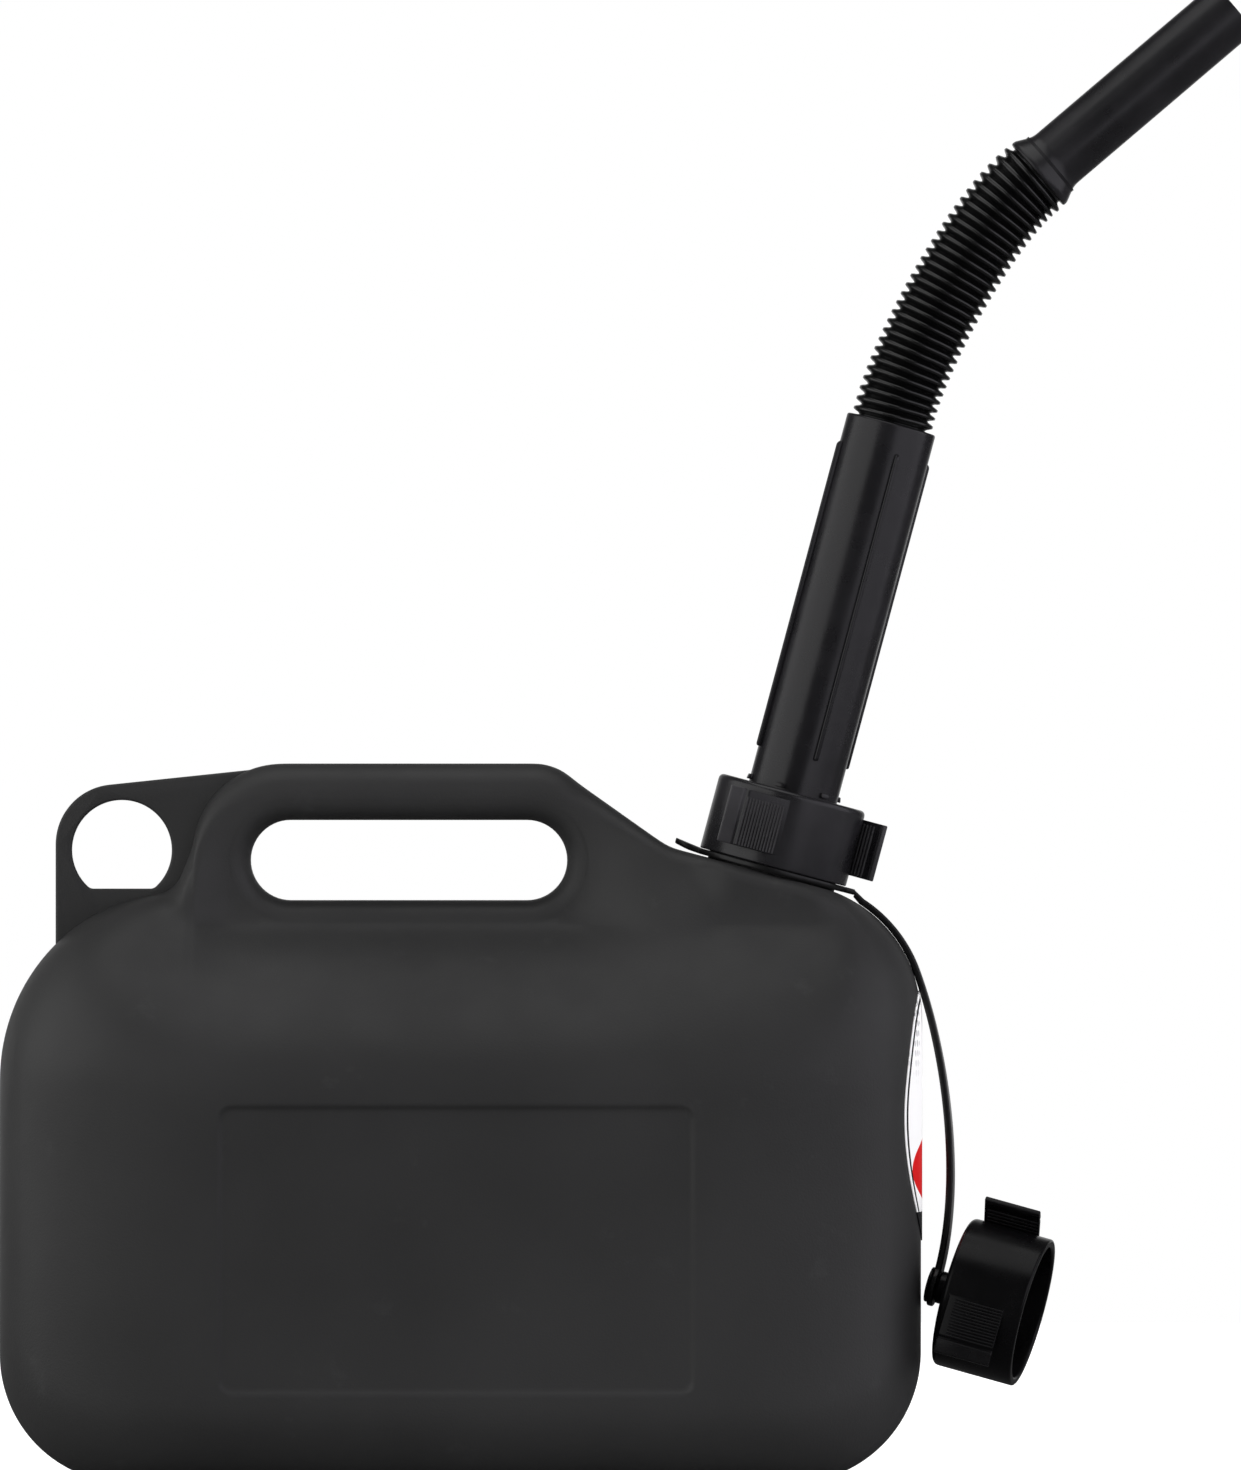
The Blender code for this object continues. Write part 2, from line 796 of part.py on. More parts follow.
def build_spout_tube():
    bore = tube_radius - tube_wall
    profile = [(tube_radius, tube_top), (tube_radius, flange_top), (flange_radius, flange_top),
               (flange_radius, flange_foot), (bore, flange_foot), (bore, tube_top)]
    tube = attach(turned("spout_tube", profile, tube_steps), neck_frame)
    add_material(tube, "black_tube_plastic", (0.016, 0.016, 0.018), 0.30)
    join(tube, tube_details())
    return tube


def hose_route():
    """Centre line of the hose: straight out of the tube, round the bend, straight into the socket."""
    bend = Vector((0.0, 0.0, bend_height))
    out = Vector((sin(bend_angle), 0.0, cos(bend_angle)))
    start = Vector((0.0, 0.0, tube_top - hose_cuff_length))
    leave = Vector((0.0, 0.0, tube_top + hose_lower_straight))
    arrive = bend + out * (bend_setback - hose_upper_straight)
    finish = bend + out * (bend_setback + socket_depth - seat_gap)
    controls = (leave, leave.lerp(bend, hose_bend_share), arrive.lerp(bend, hose_bend_share), arrive)
    curve = [bezier(controls, step / route_steps) for step in range(route_steps + 1)]
    return [start] + curve + [finish]


def walk(route, distance):
    """Point at a distance along a route."""
    for low, high in zip(route, route[1:]):
        step = (high - low).length
        if distance <= step:
            return low.lerp(high, distance / step)
        distance -= step
    return route[-1]


def route_length(route):
    return sum((high - low).length for low, high in zip(route, route[1:]))


def build_flex_hose():
    """Bellows hose: plain cuffs at both ends and one ring of ribs after another between them."""
    route = hose_route()
    length = route_length(route)
    cuff_radius = tube_radius - tube_wall - seat_gap
    rib_start = hose_cuff_length + loose_gap
    rib_end = length - socket_depth - loose_gap
    rib_count = round((rib_end - rib_start) / hose_pitch)
    pitch = (rib_end - rib_start) / rib_count
    places = [(0.0, cuff_radius), (hose_cuff_length, cuff_radius)]
    for index in range(rib_count):
        low = rib_start + index * pitch
        places += [(low, hose_root_radius), (low + pitch / 2, hose_crest_radius)]
    places += [(rib_end, hose_root_radius), (length, hose_root_radius)]
    points = [walk(route, distance) for distance, radius in places]
    hose = tube_along("flex_hose", points, [radius for distance, radius in places], 2)
    attach(hose, neck_frame)
    add_material(hose, "black_hose_plastic", (0.007, 0.007, 0.007), 0.42)
    step = length / bore_steps
    first = route[0] - (route[1] - route[0]).normalized() * overrun
    last = route[-1] + (route[-1] - route[-2]).normalized() * overrun
    core = [first] + [walk(route, step * index) for index in range(1, bore_steps)] + [last]
    bore = tube_along("hose_bore_cutter", core, [hose_bore_radius] * len(core), 2, cutter=True)
    cut(hose, attach(bore, neck_frame))
    smooth(hose)
    print("hose:", rib_count, "ribs, length outside the tube and socket",
          round(rib_end - rib_start, 4))
    return hose


def build_nozzle():
    """Rigid end tube with a flared socket over the hose's upper cuff."""
    low = bend_setback
    high = bend_setback + nozzle_length
    bore = nozzle_radius - nozzle_wall
    socket = hose_root_radius + seat_gap
    profile = [(nozzle_radius, high), (nozzle_radius, low + flare_length),
               (flare_radius, low + flare_length / 4), (flare_radius, low), (socket, low),
               (socket, low + socket_depth), (bore, low + socket_depth), (bore, high)]
    nozzle = attach(turned("spout_nozzle", profile, nozzle_steps), bend_frame)
    add_material(nozzle, "black_tube_plastic", (0.016, 0.016, 0.018), 0.30)
    return nozzle


def build_neck_ring():
    """Tether ring round the neck, with a pull tab behind and a stub where the strap begins."""
    tab_half = ring_tab_width / 2
    tab_angle = asin(tab_half / ring_radius)
    stub_half = strap_width / 2
    stub_angle = asin(stub_half / ring_radius)
    steps = corner_steps * 3
    tip_x = -ring_tab_reach + tab_half
    points = [(ring_stub_reach, -stub_half), (ring_stub_reach, stub_half)]
    points += arc((0.0, 0.0), ring_radius, stub_angle, pi - tab_angle, steps)
    points += arc((tip_x, 0.0), tab_half, pi / 2, pi * 3 / 2, corner_steps * 2)
    points += arc((0.0, 0.0), ring_radius, pi + tab_angle, 2 * pi - stub_angle, steps)
    hole = arc((0.0, 0.0), neck_radius + loose_gap, 0.0, 2 * pi - 2 * pi / round_steps, round_steps - 1)
    ring = plate("strap_neck_ring", [points, hole], ring_thickness)
    ring.location.z = ring_seat + ring_thickness / 2
    attach(ring, neck_frame)
    add_material(ring, "tether_plastic", (0.008, 0.008, 0.008), 0.45)
    return ring


def strap_route():
    """Centre line of the strap: round the front shoulder, then a free bow down to the cap."""
    shoulder = (half_length - front_shoulder_radius, front_shoulder_height)
    hug = arc(shoulder, front_shoulder_radius + strap_lift, strap_hug_start, strap_hug_end, corner_steps * 2)
    points = [Vector((x, 0.0, z)) for x, z in hug]
    leave = points[-1]
    down = Vector((sin(strap_hug_end), 0.0, -cos(strap_hug_end)))
    eye_middle = cap_face + cap_out * (eye_foot + eye_thickness / 2)
    arrive = eye_middle + cap_up * (stud_radius + loose_gap)
    last_control = arrive + cap_up * strap_bow_foot
    controls = (leave, leave + down * strap_bow_top, last_control, arrive)
    steps = corner_steps * 4
    points += [bezier(controls, step / steps) for step in range(1, steps + 1)]
    return points


def build_strap():
    """Flexible strap with an eye at its foot; it starts at the hinge line of the neck ring."""
    half_thick = strap_thickness / 2
    half_wide = strap_width / 2
    root_along = Vector((cos(neck_tilt), 0.0, -sin(neck_tilt)))
    root_down = Vector((-sin(neck_tilt), 0.0, -cos(neck_tilt)))
    points = [strap_root + root_down * half_thick] + strap_route()
    edge = strap_edge_round
    section = [(half_wide - edge, half_thick), (half_wide, half_thick - edge),
               (half_wide, edge - half_thick), (half_wide - edge, -half_thick)]
    section += [(-wide, thick) for wide, thick in reversed(section)]
    rings = []
    for index, point in enumerate(points):
        near = points[max(0, index - 1)]
        ahead = points[min(len(points) - 1, index + 1)]
        along = root_along if index == 0 else (ahead - near).normalized()
        share = index / (len(points) - 1)
        across = Vector((0.0, 1.0, 0.0)).lerp(cap_side, share)
        across = (across - along * across.dot(along)).normalized()
        face = along.cross(across)
        rings.append([point - strap_root + across * wide + face * thick for wide, thick in section])
    strap = attach(loft("tether_strap", rings), strap_frame)
    add_material(strap, "tether_plastic", (0.008, 0.008, 0.008), 0.45)
    eye = cylinder("strap_eye_solid", eye_radius, eye_foot, eye_foot + eye_thickness,
                   tube_steps, cutter=True)
    join(strap, attach(eye, cap_frame))
    hole = cylinder("strap_eye_cutter", stud_radius + loose_gap, eye_foot - overrun,
                    eye_foot + eye_thickness + overrun, tube_steps, cutter=True)
    cut(strap, attach(hole, cap_frame))
    smooth(strap)
    return strap


def build_screw_cap():
    """Neck cap, open towards the front, with a headed stud that turns in the strap's eye."""
    head_foot = stud_length - head_thickness
    profile = [(0.0, stud_length), (head_radius, stud_length), (head_radius, head_foot),
               (stud_radius, head_foot), (stud_radius, boss_length),
               (boss_radius, boss_length), (boss_radius, 0.0)]
    profile += arc((cap_radius - collar_edge_round, -collar_edge_round), collar_edge_round,
                   pi / 2, 0.0, corner_steps)
    profile += [(cap_radius, -cap_height), (thread_bore, -cap_height),
                (thread_bore, -cap_top), (0.0, -cap_top)]
    cap = attach(turned("screw_cap", profile, round_steps), cap_frame)
    add_material(cap, "black_cap_plastic", (0.010, 0.010, 0.011), 0.33)
    add_wings(cap, cap_frame, 0.0)
    return cap


def build_cap_liner():
    top = -cap_top - seat_gap
    liner = cylinder("cap_liner", flange_radius, top - liner_thickness, top, tube_steps)
    attach(liner, cap_frame)
    add_material(liner, "liner_foam", (0.35, 0.35, 0.34), 0.8)
    smooth(liner)
    return liner


build_front_label(build_can())
build_neck_ring()
build_strap()
build_gasket()
build_spout_collar()
build_spout_tube()
build_flex_hose()
build_nozzle()
build_screw_cap()
build_cap_liner()
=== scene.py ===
from math import acos, asin, cos, pi, radians, sin, tan

import bmesh
import bpy
import numpy as np
from mathutils import Matrix, Vector


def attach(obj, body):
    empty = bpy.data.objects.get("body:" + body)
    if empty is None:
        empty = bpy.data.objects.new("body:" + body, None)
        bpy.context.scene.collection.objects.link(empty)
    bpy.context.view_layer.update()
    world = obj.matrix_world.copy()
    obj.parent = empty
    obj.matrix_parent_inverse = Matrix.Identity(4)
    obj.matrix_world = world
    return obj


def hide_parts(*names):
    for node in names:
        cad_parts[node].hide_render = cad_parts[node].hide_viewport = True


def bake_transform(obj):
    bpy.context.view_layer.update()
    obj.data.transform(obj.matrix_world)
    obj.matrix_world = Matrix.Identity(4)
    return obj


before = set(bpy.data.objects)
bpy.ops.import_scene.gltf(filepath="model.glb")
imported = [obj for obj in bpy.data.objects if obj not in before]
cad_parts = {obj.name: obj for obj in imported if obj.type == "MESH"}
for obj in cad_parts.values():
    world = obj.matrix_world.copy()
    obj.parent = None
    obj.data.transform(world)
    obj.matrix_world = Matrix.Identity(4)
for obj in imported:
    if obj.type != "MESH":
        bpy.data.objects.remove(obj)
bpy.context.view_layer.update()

# places that several pieces share, in metres
neckTilt = radians(15.0)
bendTurn = radians(34.6)
bendHeight = 0.2134
shoulderRadius, shoulderHeight = 0.045, 0.1552
neckBase = Vector((0.1045, 0.0, 0.2031))
neckPlace = Matrix.Translation(neckBase) @ Matrix.Rotation(neckTilt, 4, "Y")
bendPlace = neckPlace @ Matrix.Translation((0.0, 0.0, bendHeight)) @ Matrix.Rotation(bendTurn, 4, "Y")

capFace = Vector((0.1660, 0.0, 0.0630))
capDroop, capYaw = radians(15.3), radians(10.0)
capOut = Vector((-cos(capDroop) * cos(capYaw), sin(capYaw), sin(capDroop) * cos(capYaw)))
capSide = (Vector((0.0, 1.0, 0.0)) - capOut * capOut.y).normalized()
capUp = capSide.cross(capOut)
capPlace = Matrix.Translation(capFace) @ Matrix((capUp, capSide, capOut)).transposed().to_4x4()


# meshes
weldGap = 1e-6      # points this close become one
axisGap = 1e-7      # a profile's point this close to the axis lies on it
cornerShare = 0.49  # of a side, at most, goes to one rounded corner


def linkMesh(name, mesh):
    piece = bpy.data.objects.new(name, mesh)
    bpy.context.scene.collection.objects.link(piece)
    return piece


def meshFrom(name, points, faces=(), edges=()):
    mesh = bpy.data.meshes.new(name)
    mesh.from_pydata([tuple(p) for p in points], list(edges), list(faces))
    mesh.update()
    return linkMesh(name, mesh)


def outward(piece):
    work = bmesh.new()
    work.from_mesh(piece.data)
    bmesh.ops.remove_doubles(work, verts=work.verts, dist=weldGap)
    bmesh.ops.recalc_face_normals(work, faces=work.faces)
    work.to_mesh(piece.data)
    work.free()
    return piece


# skin over rings with equally many points each, both ends closed
def loft(name, rings):
    count = len(rings[0])
    points = [p for ring in rings for p in ring]
    faces = []
    for row in range(len(rings) - 1):
        low, high = row * count, (row + 1) * count
        for k in range(count):
            n = (k + 1) % count
            faces.append((low + k, low + n, high + n, high + k))
    faces.append(tuple(range(count)))
    faces.append(tuple(range(len(points) - count, len(points))))
    return outward(meshFrom(name, points, faces))


# turn a profile about Z. One that starts off the axis is a closed loop
def revolve(name, profile, steps):
    closed = profile[0][0] > axisGap
    points = []
    for step in range(steps):
        turn = 2 * pi * step / steps
        points += [(r * cos(turn), r * sin(turn), z) for r, z in profile]
    count = len(profile)
    faces = []
    for step in range(steps):
        low, high = step * count, (step + 1) % steps * count
        for k in range(count if closed else count - 1):
            n = (k + 1) % count
            corners = [low + k, low + n, high + n, high + k]
            if profile[k][0] <= axisGap:
                corners = [low + k, low + n, high + n]
            elif profile[n][0] <= axisGap:
                corners = [low + k, low + n, high + k]
            faces.append(tuple(corners))
    return outward(meshFrom(name, points, faces))


def extruded(name, outline, low, high):
    count = len(outline)
    points = [(x, y, low) for x, y in outline] + [(x, y, high) for x, y in outline]
    faces = [tuple(range(count)), tuple(range(count, count * 2))]
    faces += [(k, (k + 1) % count, (k + 1) % count + count, k + count) for k in range(count)]
    return outward(meshFrom(name, points, faces))


def arc(centre, radius, start, end, steps):
    turns = [start + (end - start) * step / steps for step in range(steps + 1)]
    return [(centre[0] + radius * cos(t), centre[1] + radius * sin(t)) for t in turns]


# replace the corners of a profile by small arcs, so that edges catch light
def roundCorners(profile, radii, steps=5, closed=True):
    result = []
    count = len(profile)
    for k, (point, radius) in enumerate(zip(profile, radii)):
        here = Vector(point)
        if radius <= 0 or (not closed and k in (0, count - 1)):
            result.append(tuple(here))
            continue
        back = Vector(profile[k - 1]) - here
        ahead = Vector(profile[(k + 1) % count]) - here
        reach = min(radius, back.length * cornerShare, ahead.length * cornerShare)
        a, b = here + back.normalized() * reach, here + ahead.normalized() * reach
        for step in range(steps + 1):
            t = step / steps
            result.append(tuple((1 - t) ** 2 * a + 2 * t * (1 - t) * here + t * t * b))
    return result


# turn a piece with modifiers into a plain mesh
def settle(piece):
    bpy.context.view_layer.update()
    graph = bpy.context.evaluated_depsgraph_get()
    mesh = bpy.data.meshes.new_from_object(piece.evaluated_get(graph))
    old = piece.data
    piece.modifiers.clear()
    piece.data = mesh
    bpy.data.meshes.remove(old)
    return piece


def bevelEdges(piece, width, segments=3, angle=30):
    edge = piece.modifiers.new("edges", "BEVEL")
    edge.width = width
    edge.segments = segments
    edge.limit_method = "ANGLE"
    edge.angle_limit = radians(angle)
    return settle(piece)


def solve(target, other, operation):
    step = target.modifiers.new(other.name, "BOOLEAN")
    step.operation = operation
    step.solver = "EXACT"
    step.object = other
    settle(target)
    bpy.data.objects.remove(other, do_unlink=True)
    return target


# gather plain meshes in one, which keeps their materials
def merge(name, pieces):
    work = bmesh.new()
    materials = []
    for piece in pieces:
        start = len(work.faces)
        work.from_mesh(piece.data)
        work.faces.ensure_lookup_table()
        owned = list(piece.data.materials)
        materials += [own for own in owned if own not in materials]
        for face in work.faces[start:]:
            face.material_index = materials.index(owned[face.material_index])
    mesh = bpy.data.meshes.new(name)
    work.to_mesh(mesh)
    work.free()
    for own in materials:
        mesh.materials.append(own)
    for piece in pieces:
        bpy.data.objects.remove(piece, do_unlink=True)
    return linkMesh(name, mesh)


def finish(piece, material=None, angle=35.0):
    if material is not None:
        piece.data.materials.clear()
        piece.data.materials.append(material)
    piece.data.shade_smooth()
    piece.data.set_sharp_from_angle(angle=radians(angle))
    return piece


def place(piece, matrix):
    piece.data.transform(matrix)
    piece.data.update()
    return piece


# node trees
treeSteps = dict(gripSides=8, threadSteps=72, threadSides=8, hoseWeld=0.00001)


def addNode(tree, kind, inputs=None, **settings):
    node = tree.nodes.new(kind)
    for key, value in settings.items():
        setattr(node, key, value)
    for key, value in (inputs or {}).items():
        if isinstance(value, bpy.types.NodeSocket):
            tree.links.new(value, node.inputs[key])
        else:
            node.inputs[key].default_value = value
    return node


def maths(tree, operation, first, second=0.0):
    return addNode(tree, "ShaderNodeMath", {0: first, 1: second}, operation=operation).outputs[0]


# a geometry tree with a geometry input, named inputs and one output
def newTree(name, sockets):
    tree = bpy.data.node_groups.new(name, "GeometryNodeTree")
    tree.interface.new_socket("Geometry", in_out="INPUT", socket_type="NodeSocketGeometry")
    for label, kind in sockets:
        tree.interface.new_socket(label, in_out="INPUT", socket_type="NodeSocket" + kind)
    tree.interface.new_socket("Geometry", in_out="OUTPUT", socket_type="NodeSocketGeometry")
    return tree, tree.nodes.new("NodeGroupInput").outputs, tree.nodes.new("NodeGroupOutput")


# every tree ends in realized instances and its material
def closeTree(tree, output, geometry, inputs):
    real = addNode(tree, "GeometryNodeRealizeInstances", {"Geometry": geometry})
    painted = addNode(tree, "GeometryNodeSetMaterial",
                      {"Geometry": real.outputs[0], "Material": inputs["Material"]})
    tree.links.new(painted.outputs[0], output.inputs[0])
    return tree


# run a tree on a piece and keep the plain mesh
def grow(piece, tree, values):
    step = piece.modifiers.new(tree.name, "NODES")
    step.node_group = tree
    for item in tree.interface.items_tree:
        if item.in_out == "INPUT" and item.name in values:
            step[item.identifier] = values[item.name]
    return settle(piece)


# copies of a piece, spaced round the Z axis
def makeRingTree():
    tree, inputs, output = newTree("spacedRound", [
        ("Count", "Int"), ("First angle", "Float"), ("Pitch", "Float"), ("Material", "Material")])
    spots = addNode(tree, "GeometryNodeMeshLine", {"Count": inputs["Count"], "Offset": (0.0, 0.0, 0.0)})
    index = addNode(tree, "GeometryNodeInputIndex").outputs[0]
    turn = maths(tree, "ADD", maths(tree, "MULTIPLY", index, inputs["Pitch"]), inputs["First angle"])
    rotation = addNode(tree, "ShaderNodeCombineXYZ", {"Z": turn})
    copies = addNode(tree, "GeometryNodeInstanceOnPoints", {
        "Points": spots.outputs[0], "Instance": inputs["Geometry"], "Rotation": rotation.outputs[0]})
    return closeTree(tree, output, copies.outputs[0], inputs)


# fine upright ribs, spaced along a path
def makeGripTree():
    tree, inputs, output = newTree("gripRibs", [
        ("Count", "Int"), ("Rib radius", "Float"), ("Rib length", "Float"), ("Material", "Material")])
    path = addNode(tree, "GeometryNodeMeshToCurve", {"Mesh": inputs["Geometry"]})
    spots = addNode(tree, "GeometryNodeResampleCurve", {"Curve": path.outputs[0], "Count": inputs["Count"]})
    rib = addNode(tree, "GeometryNodeMeshCylinder", {
        "Vertices": treeSteps["gripSides"], "Radius": inputs["Rib radius"], "Depth": inputs["Rib length"]})
    copies = addNode(tree, "GeometryNodeInstanceOnPoints", {
        "Points": spots.outputs[0], "Instance": rib.outputs["Mesh"]})
    return closeTree(tree, output, copies.outputs[0], inputs)


# one helical ridge, as on a moulded screw thread
def makeThreadTree():
    tree, inputs, output = newTree("screwThread", [
        ("Turns", "Float"), ("Radius", "Float"), ("Rise", "Float"), ("Ridge", "Float"),
        ("Material", "Material")])
    spiral = addNode(tree, "GeometryNodeCurveSpiral", {
        "Resolution": treeSteps["threadSteps"], "Rotations": inputs["Turns"],
        "Start Radius": inputs["Radius"], "End Radius": inputs["Radius"], "Height": inputs["Rise"]})
    section = addNode(tree, "GeometryNodeCurvePrimitiveCircle", {
        "Resolution": treeSteps["threadSides"], "Radius": inputs["Ridge"]})
    ridge = addNode(tree, "GeometryNodeCurveToMesh", {
        "Curve": spiral.outputs[0], "Profile Curve": section.outputs[0], "Fill Caps": True})
    return closeTree(tree, output, ridge.outputs[0], inputs)


# ribbed hose with its bore along a path. ribPhase counts the ribs and is -1 on the cuffs
def makeBellowsTree():
    tree, inputs, output = newTree("bellows", [
        ("Crest radius", "Float"), ("Root radius", "Float"), ("Bore radius", "Float"),
        ("Crest slope", "Float"), ("Sides", "Int"), ("Material", "Material")])
    path = addNode(tree, "GeometryNodeMeshToCurve", {"Mesh": inputs["Geometry"]}).outputs[0]
    phase, cuff = [addNode(tree, "GeometryNodeInputNamedAttribute", {"Name": name},
                           data_type="FLOAT").outputs[0] for name in ("ribPhase", "cuffRadius")]
    wave = maths(tree, "MULTIPLY", maths(tree, "PINGPONG", phase, 0.5), inputs["Crest slope"])
    wave = maths(tree, "MINIMUM", wave, 1.0)
    fall = maths(tree, "SUBTRACT", 3.0, maths(tree, "MULTIPLY", wave, 2.0))
    crest = maths(tree, "MULTIPLY", maths(tree, "MULTIPLY", wave, wave), fall)
    depth = maths(tree, "SUBTRACT", inputs["Crest radius"], inputs["Root radius"])
    ribbed = maths(tree, "ADD", inputs["Root radius"], maths(tree, "MULTIPLY", crest, depth))
    onCuff = maths(tree, "LESS_THAN", phase, -0.5)
    plain = maths(tree, "MULTIPLY", onCuff, cuff)
    smooth = maths(tree, "SUBTRACT", 1.0, onCuff)
    radius = maths(tree, "ADD", maths(tree, "MULTIPLY", smooth, ribbed), plain)
    circle = addNode(tree, "GeometryNodeCurvePrimitiveCircle", {
        "Resolution": inputs["Sides"], "Radius": 1.0})
    skin = addNode(tree, "GeometryNodeCurveToMesh", {
        "Curve": path, "Profile Curve": circle.outputs[0], "Scale": radius})
    bore = addNode(tree, "GeometryNodeCurveToMesh", {
        "Curve": path, "Profile Curve": circle.outputs[0], "Scale": inputs["Bore radius"]})
    inner = addNode(tree, "GeometryNodeFlipFaces", {"Mesh": bore.outputs[0]})
    both = addNode(tree, "GeometryNodeJoinGeometry")
    tree.links.new(skin.outputs[0], both.inputs[0])
    tree.links.new(inner.outputs[0], both.inputs[0])
    welded = addNode(tree, "GeometryNodeMergeByDistance", {
        "Geometry": both.outputs[0], "Distance": treeSteps["hoseWeld"]})
    return closeTree(tree, output, welded.outputs[0], inputs)


ringTree = makeRingTree()
gripTree = makeGripTree()
threadTree = makeThreadTree()
bellowsTree = makeBellowsTree()
print("node trees ready")


# materials
def newMaterial(name, roughness, specular):
    material = bpy.data.materials.new(name)
    material.use_nodes = True
    tree = material.node_tree
    shader = tree.nodes["Principled BSDF"]
    shader.inputs["Roughness"].default_value = roughness
    shader.inputs["Specular IOR Level"].default_value = specular
    coords = addNode(tree, "ShaderNodeTexCoord").outputs["Object"]
    return material, tree, shader, coords


def noise(tree, coords, scale, detail=2.0, roughness=0.5):
    return addNode(tree, "ShaderNodeTexNoise", {
        "Vector": coords, "Scale": scale, "Detail": detail, "Roughness": roughness}).outputs["Fac"]


def remap(tree, value, low, high, start, end, kind="LINEAR"):
    return addNode(tree, "ShaderNodeMapRange", {
        "Value": value, "From Min": low, "From Max": high, "To Min": start, "To Max": end},
        interpolation_type=kind).outputs["Result"]


def blendColour(tree, share, first, second):
    node = addNode(tree, "ShaderNodeMix", data_type="RGBA")
    for socket, value in ((node.inputs[0], share), (node.inputs[6], first), (node.inputs[7], second)):
        if isinstance(value, bpy.types.NodeSocket):
            tree.links.new(value, socket)
        else:
            socket.default_value = (*value, 1.0) if isinstance(value, tuple) else value
    return node.outputs[2]


def bump(tree, shader, height, distance, strength=1.0):
    node = addNode(tree, "ShaderNodeBump", {"Height": height, "Distance": distance, "Strength": strength})
    tree.links.new(node.outputs[0], shader.inputs["Normal"])


# coordinates turned to a piece's own axis and squeezed along it
def along(tree, coords, turn, stretch):
    return addNode(tree, "ShaderNodeMapping", {
        "Vector": coords, "Rotation": (0.0, turn, 0.0), "Scale": (1.0, 1.0, stretch)}).outputs[0]


noiseRange = (0.3, 0.7)
canFinish = dict(deep=(0.0225, 0.0225, 0.0225), pale=(0.0300, 0.0300, 0.0300), scuff=(0.045, 0.045, 0.045),
                 roughness=0.5, specular=0.42, cloudScale=9.0, cloudRange=(0.35, 0.65), markScale=55.0,
                 markRange=(0.60, 0.74), markShare=0.5, sheenScale=38.0, sheen=(0.46, 0.58),
                 grainScale=1300.0, grain=0.10, waveScale=16.0, wave=0.9, seamHalf=0.0006, seam=0.35,
                 relief=0.0006)


def makeCanMaterial():
    f = canFinish
    material, tree, shader, coords = newMaterial("mattCanPlastic", f["roughness"], f["specular"])
    cloud = noise(tree, coords, f["cloudScale"], 3.0)
    base = blendColour(tree, remap(tree, cloud, *f["cloudRange"], 0.0, 1.0), f["deep"], f["pale"])
    marks = noise(tree, coords, f["markScale"], 9.0, 0.72)
    rubbed = remap(tree, marks, *f["markRange"], 0.0, f["markShare"])
    tree.links.new(blendColour(tree, rubbed, base, f["scuff"]), shader.inputs["Base Color"])
    sheen = noise(tree, coords, f["sheenScale"], 4.0)
    tree.links.new(remap(tree, sheen, *noiseRange, *f["sheen"]), shader.inputs["Roughness"])
    grain = maths(tree, "MULTIPLY", noise(tree, coords, f["grainScale"], 2.0), f["grain"])
    waves = maths(tree, "MULTIPLY", noise(tree, coords, f["waveScale"], 1.0), f["wave"])
    side = addNode(tree, "ShaderNodeSeparateXYZ", {"Vector": coords}).outputs["Y"]
    seam = remap(tree, maths(tree, "ABSOLUTE", side), f["seamHalf"], 0.0, 0.0, f["seam"], "SMOOTHSTEP")
    bump(tree, shader, maths(tree, "ADD", maths(tree, "ADD", grain, waves), seam), f["relief"])
    return material


glossFinish = dict(paler=1.9, palerRange=(0.35, 0.75), palerShare=0.8, stretch=0.06, lineScale=420.0,
                   line=0.12, patchScale=45.0, softScale=90.0, soft=0.5, dull=(-0.05, 0.07),
                   relief=0.00018)


# injection-moulded plastic: faint flow lines along the piece, a few dull patches
def makeGlossMaterial(name, colour, roughness, turn, specular):
    f = glossFinish
    material, tree, shader, coords = newMaterial(name, roughness, specular)
    lines = noise(tree, along(tree, coords, turn, f["stretch"]), f["lineScale"], 3.0)
    patches = noise(tree, coords, f["patchScale"], 5.0, 0.6)
    pale = tuple(c * f["paler"] for c in colour)
    share = remap(tree, patches, *f["palerRange"], 0.0, f["palerShare"])
    tree.links.new(blendColour(tree, share, colour, pale), shader.inputs["Base Color"])
    dull = [roughness + change for change in f["dull"]]
    tree.links.new(remap(tree, patches, *noiseRange, *dull), shader.inputs["Roughness"])
    soft = maths(tree, "MULTIPLY", noise(tree, coords, f["softScale"], 1.0), f["soft"])
    bump(tree, shader, maths(tree, "ADD", soft, maths(tree, "MULTIPLY", lines, f["line"])), f["relief"])
    return material


softFinish = dict(paler=1.7, patchScale=0.05, dull=(-0.05, 0.08), relief=0.00008)


# flexible plastic, rubber and foam, whose fine grain has the given scale
def makeSoftMaterial(name, colour, roughness, scale, specular=0.45):
    f = softFinish
    material, tree, shader, coords = newMaterial(name, roughness, specular)
    patches = noise(tree, coords, scale * f["patchScale"], 4.0)
    pale = tuple(c * f["paler"] for c in colour)
    tree.links.new(blendColour(tree, patches, colour, pale), shader.inputs["Base Color"])
    dull = [roughness + change for change in f["dull"]]
    tree.links.new(remap(tree, patches, *noiseRange, *dull), shader.inputs["Roughness"])
    bump(tree, shader, noise(tree, coords, scale, 2.0), f["relief"])
    return material


# places and sizes on the label run from -1 to 1
labelPrint = dict(white=(0.90, 0.90, 0.89), ink=(0.012, 0.012, 0.013), red=(0.60, 0.004, 0.006),
                  grey=(0.38, 0.38, 0.39), borderStart=0.925, borderEnd=0.965, footTop=-0.76,
                  patchCentre=-0.42, patchHalf=(0.82, 0.25), dotScale=300.0, dotSize=0.36,
                  dotFade=(0.25, 0.75), roughness=0.6, specular=0.10, mottleScale=90.0, dull=(0.55, 0.65))


def squareOf(tree, value):
    return maths(tree, "MULTIPLY", value, value)


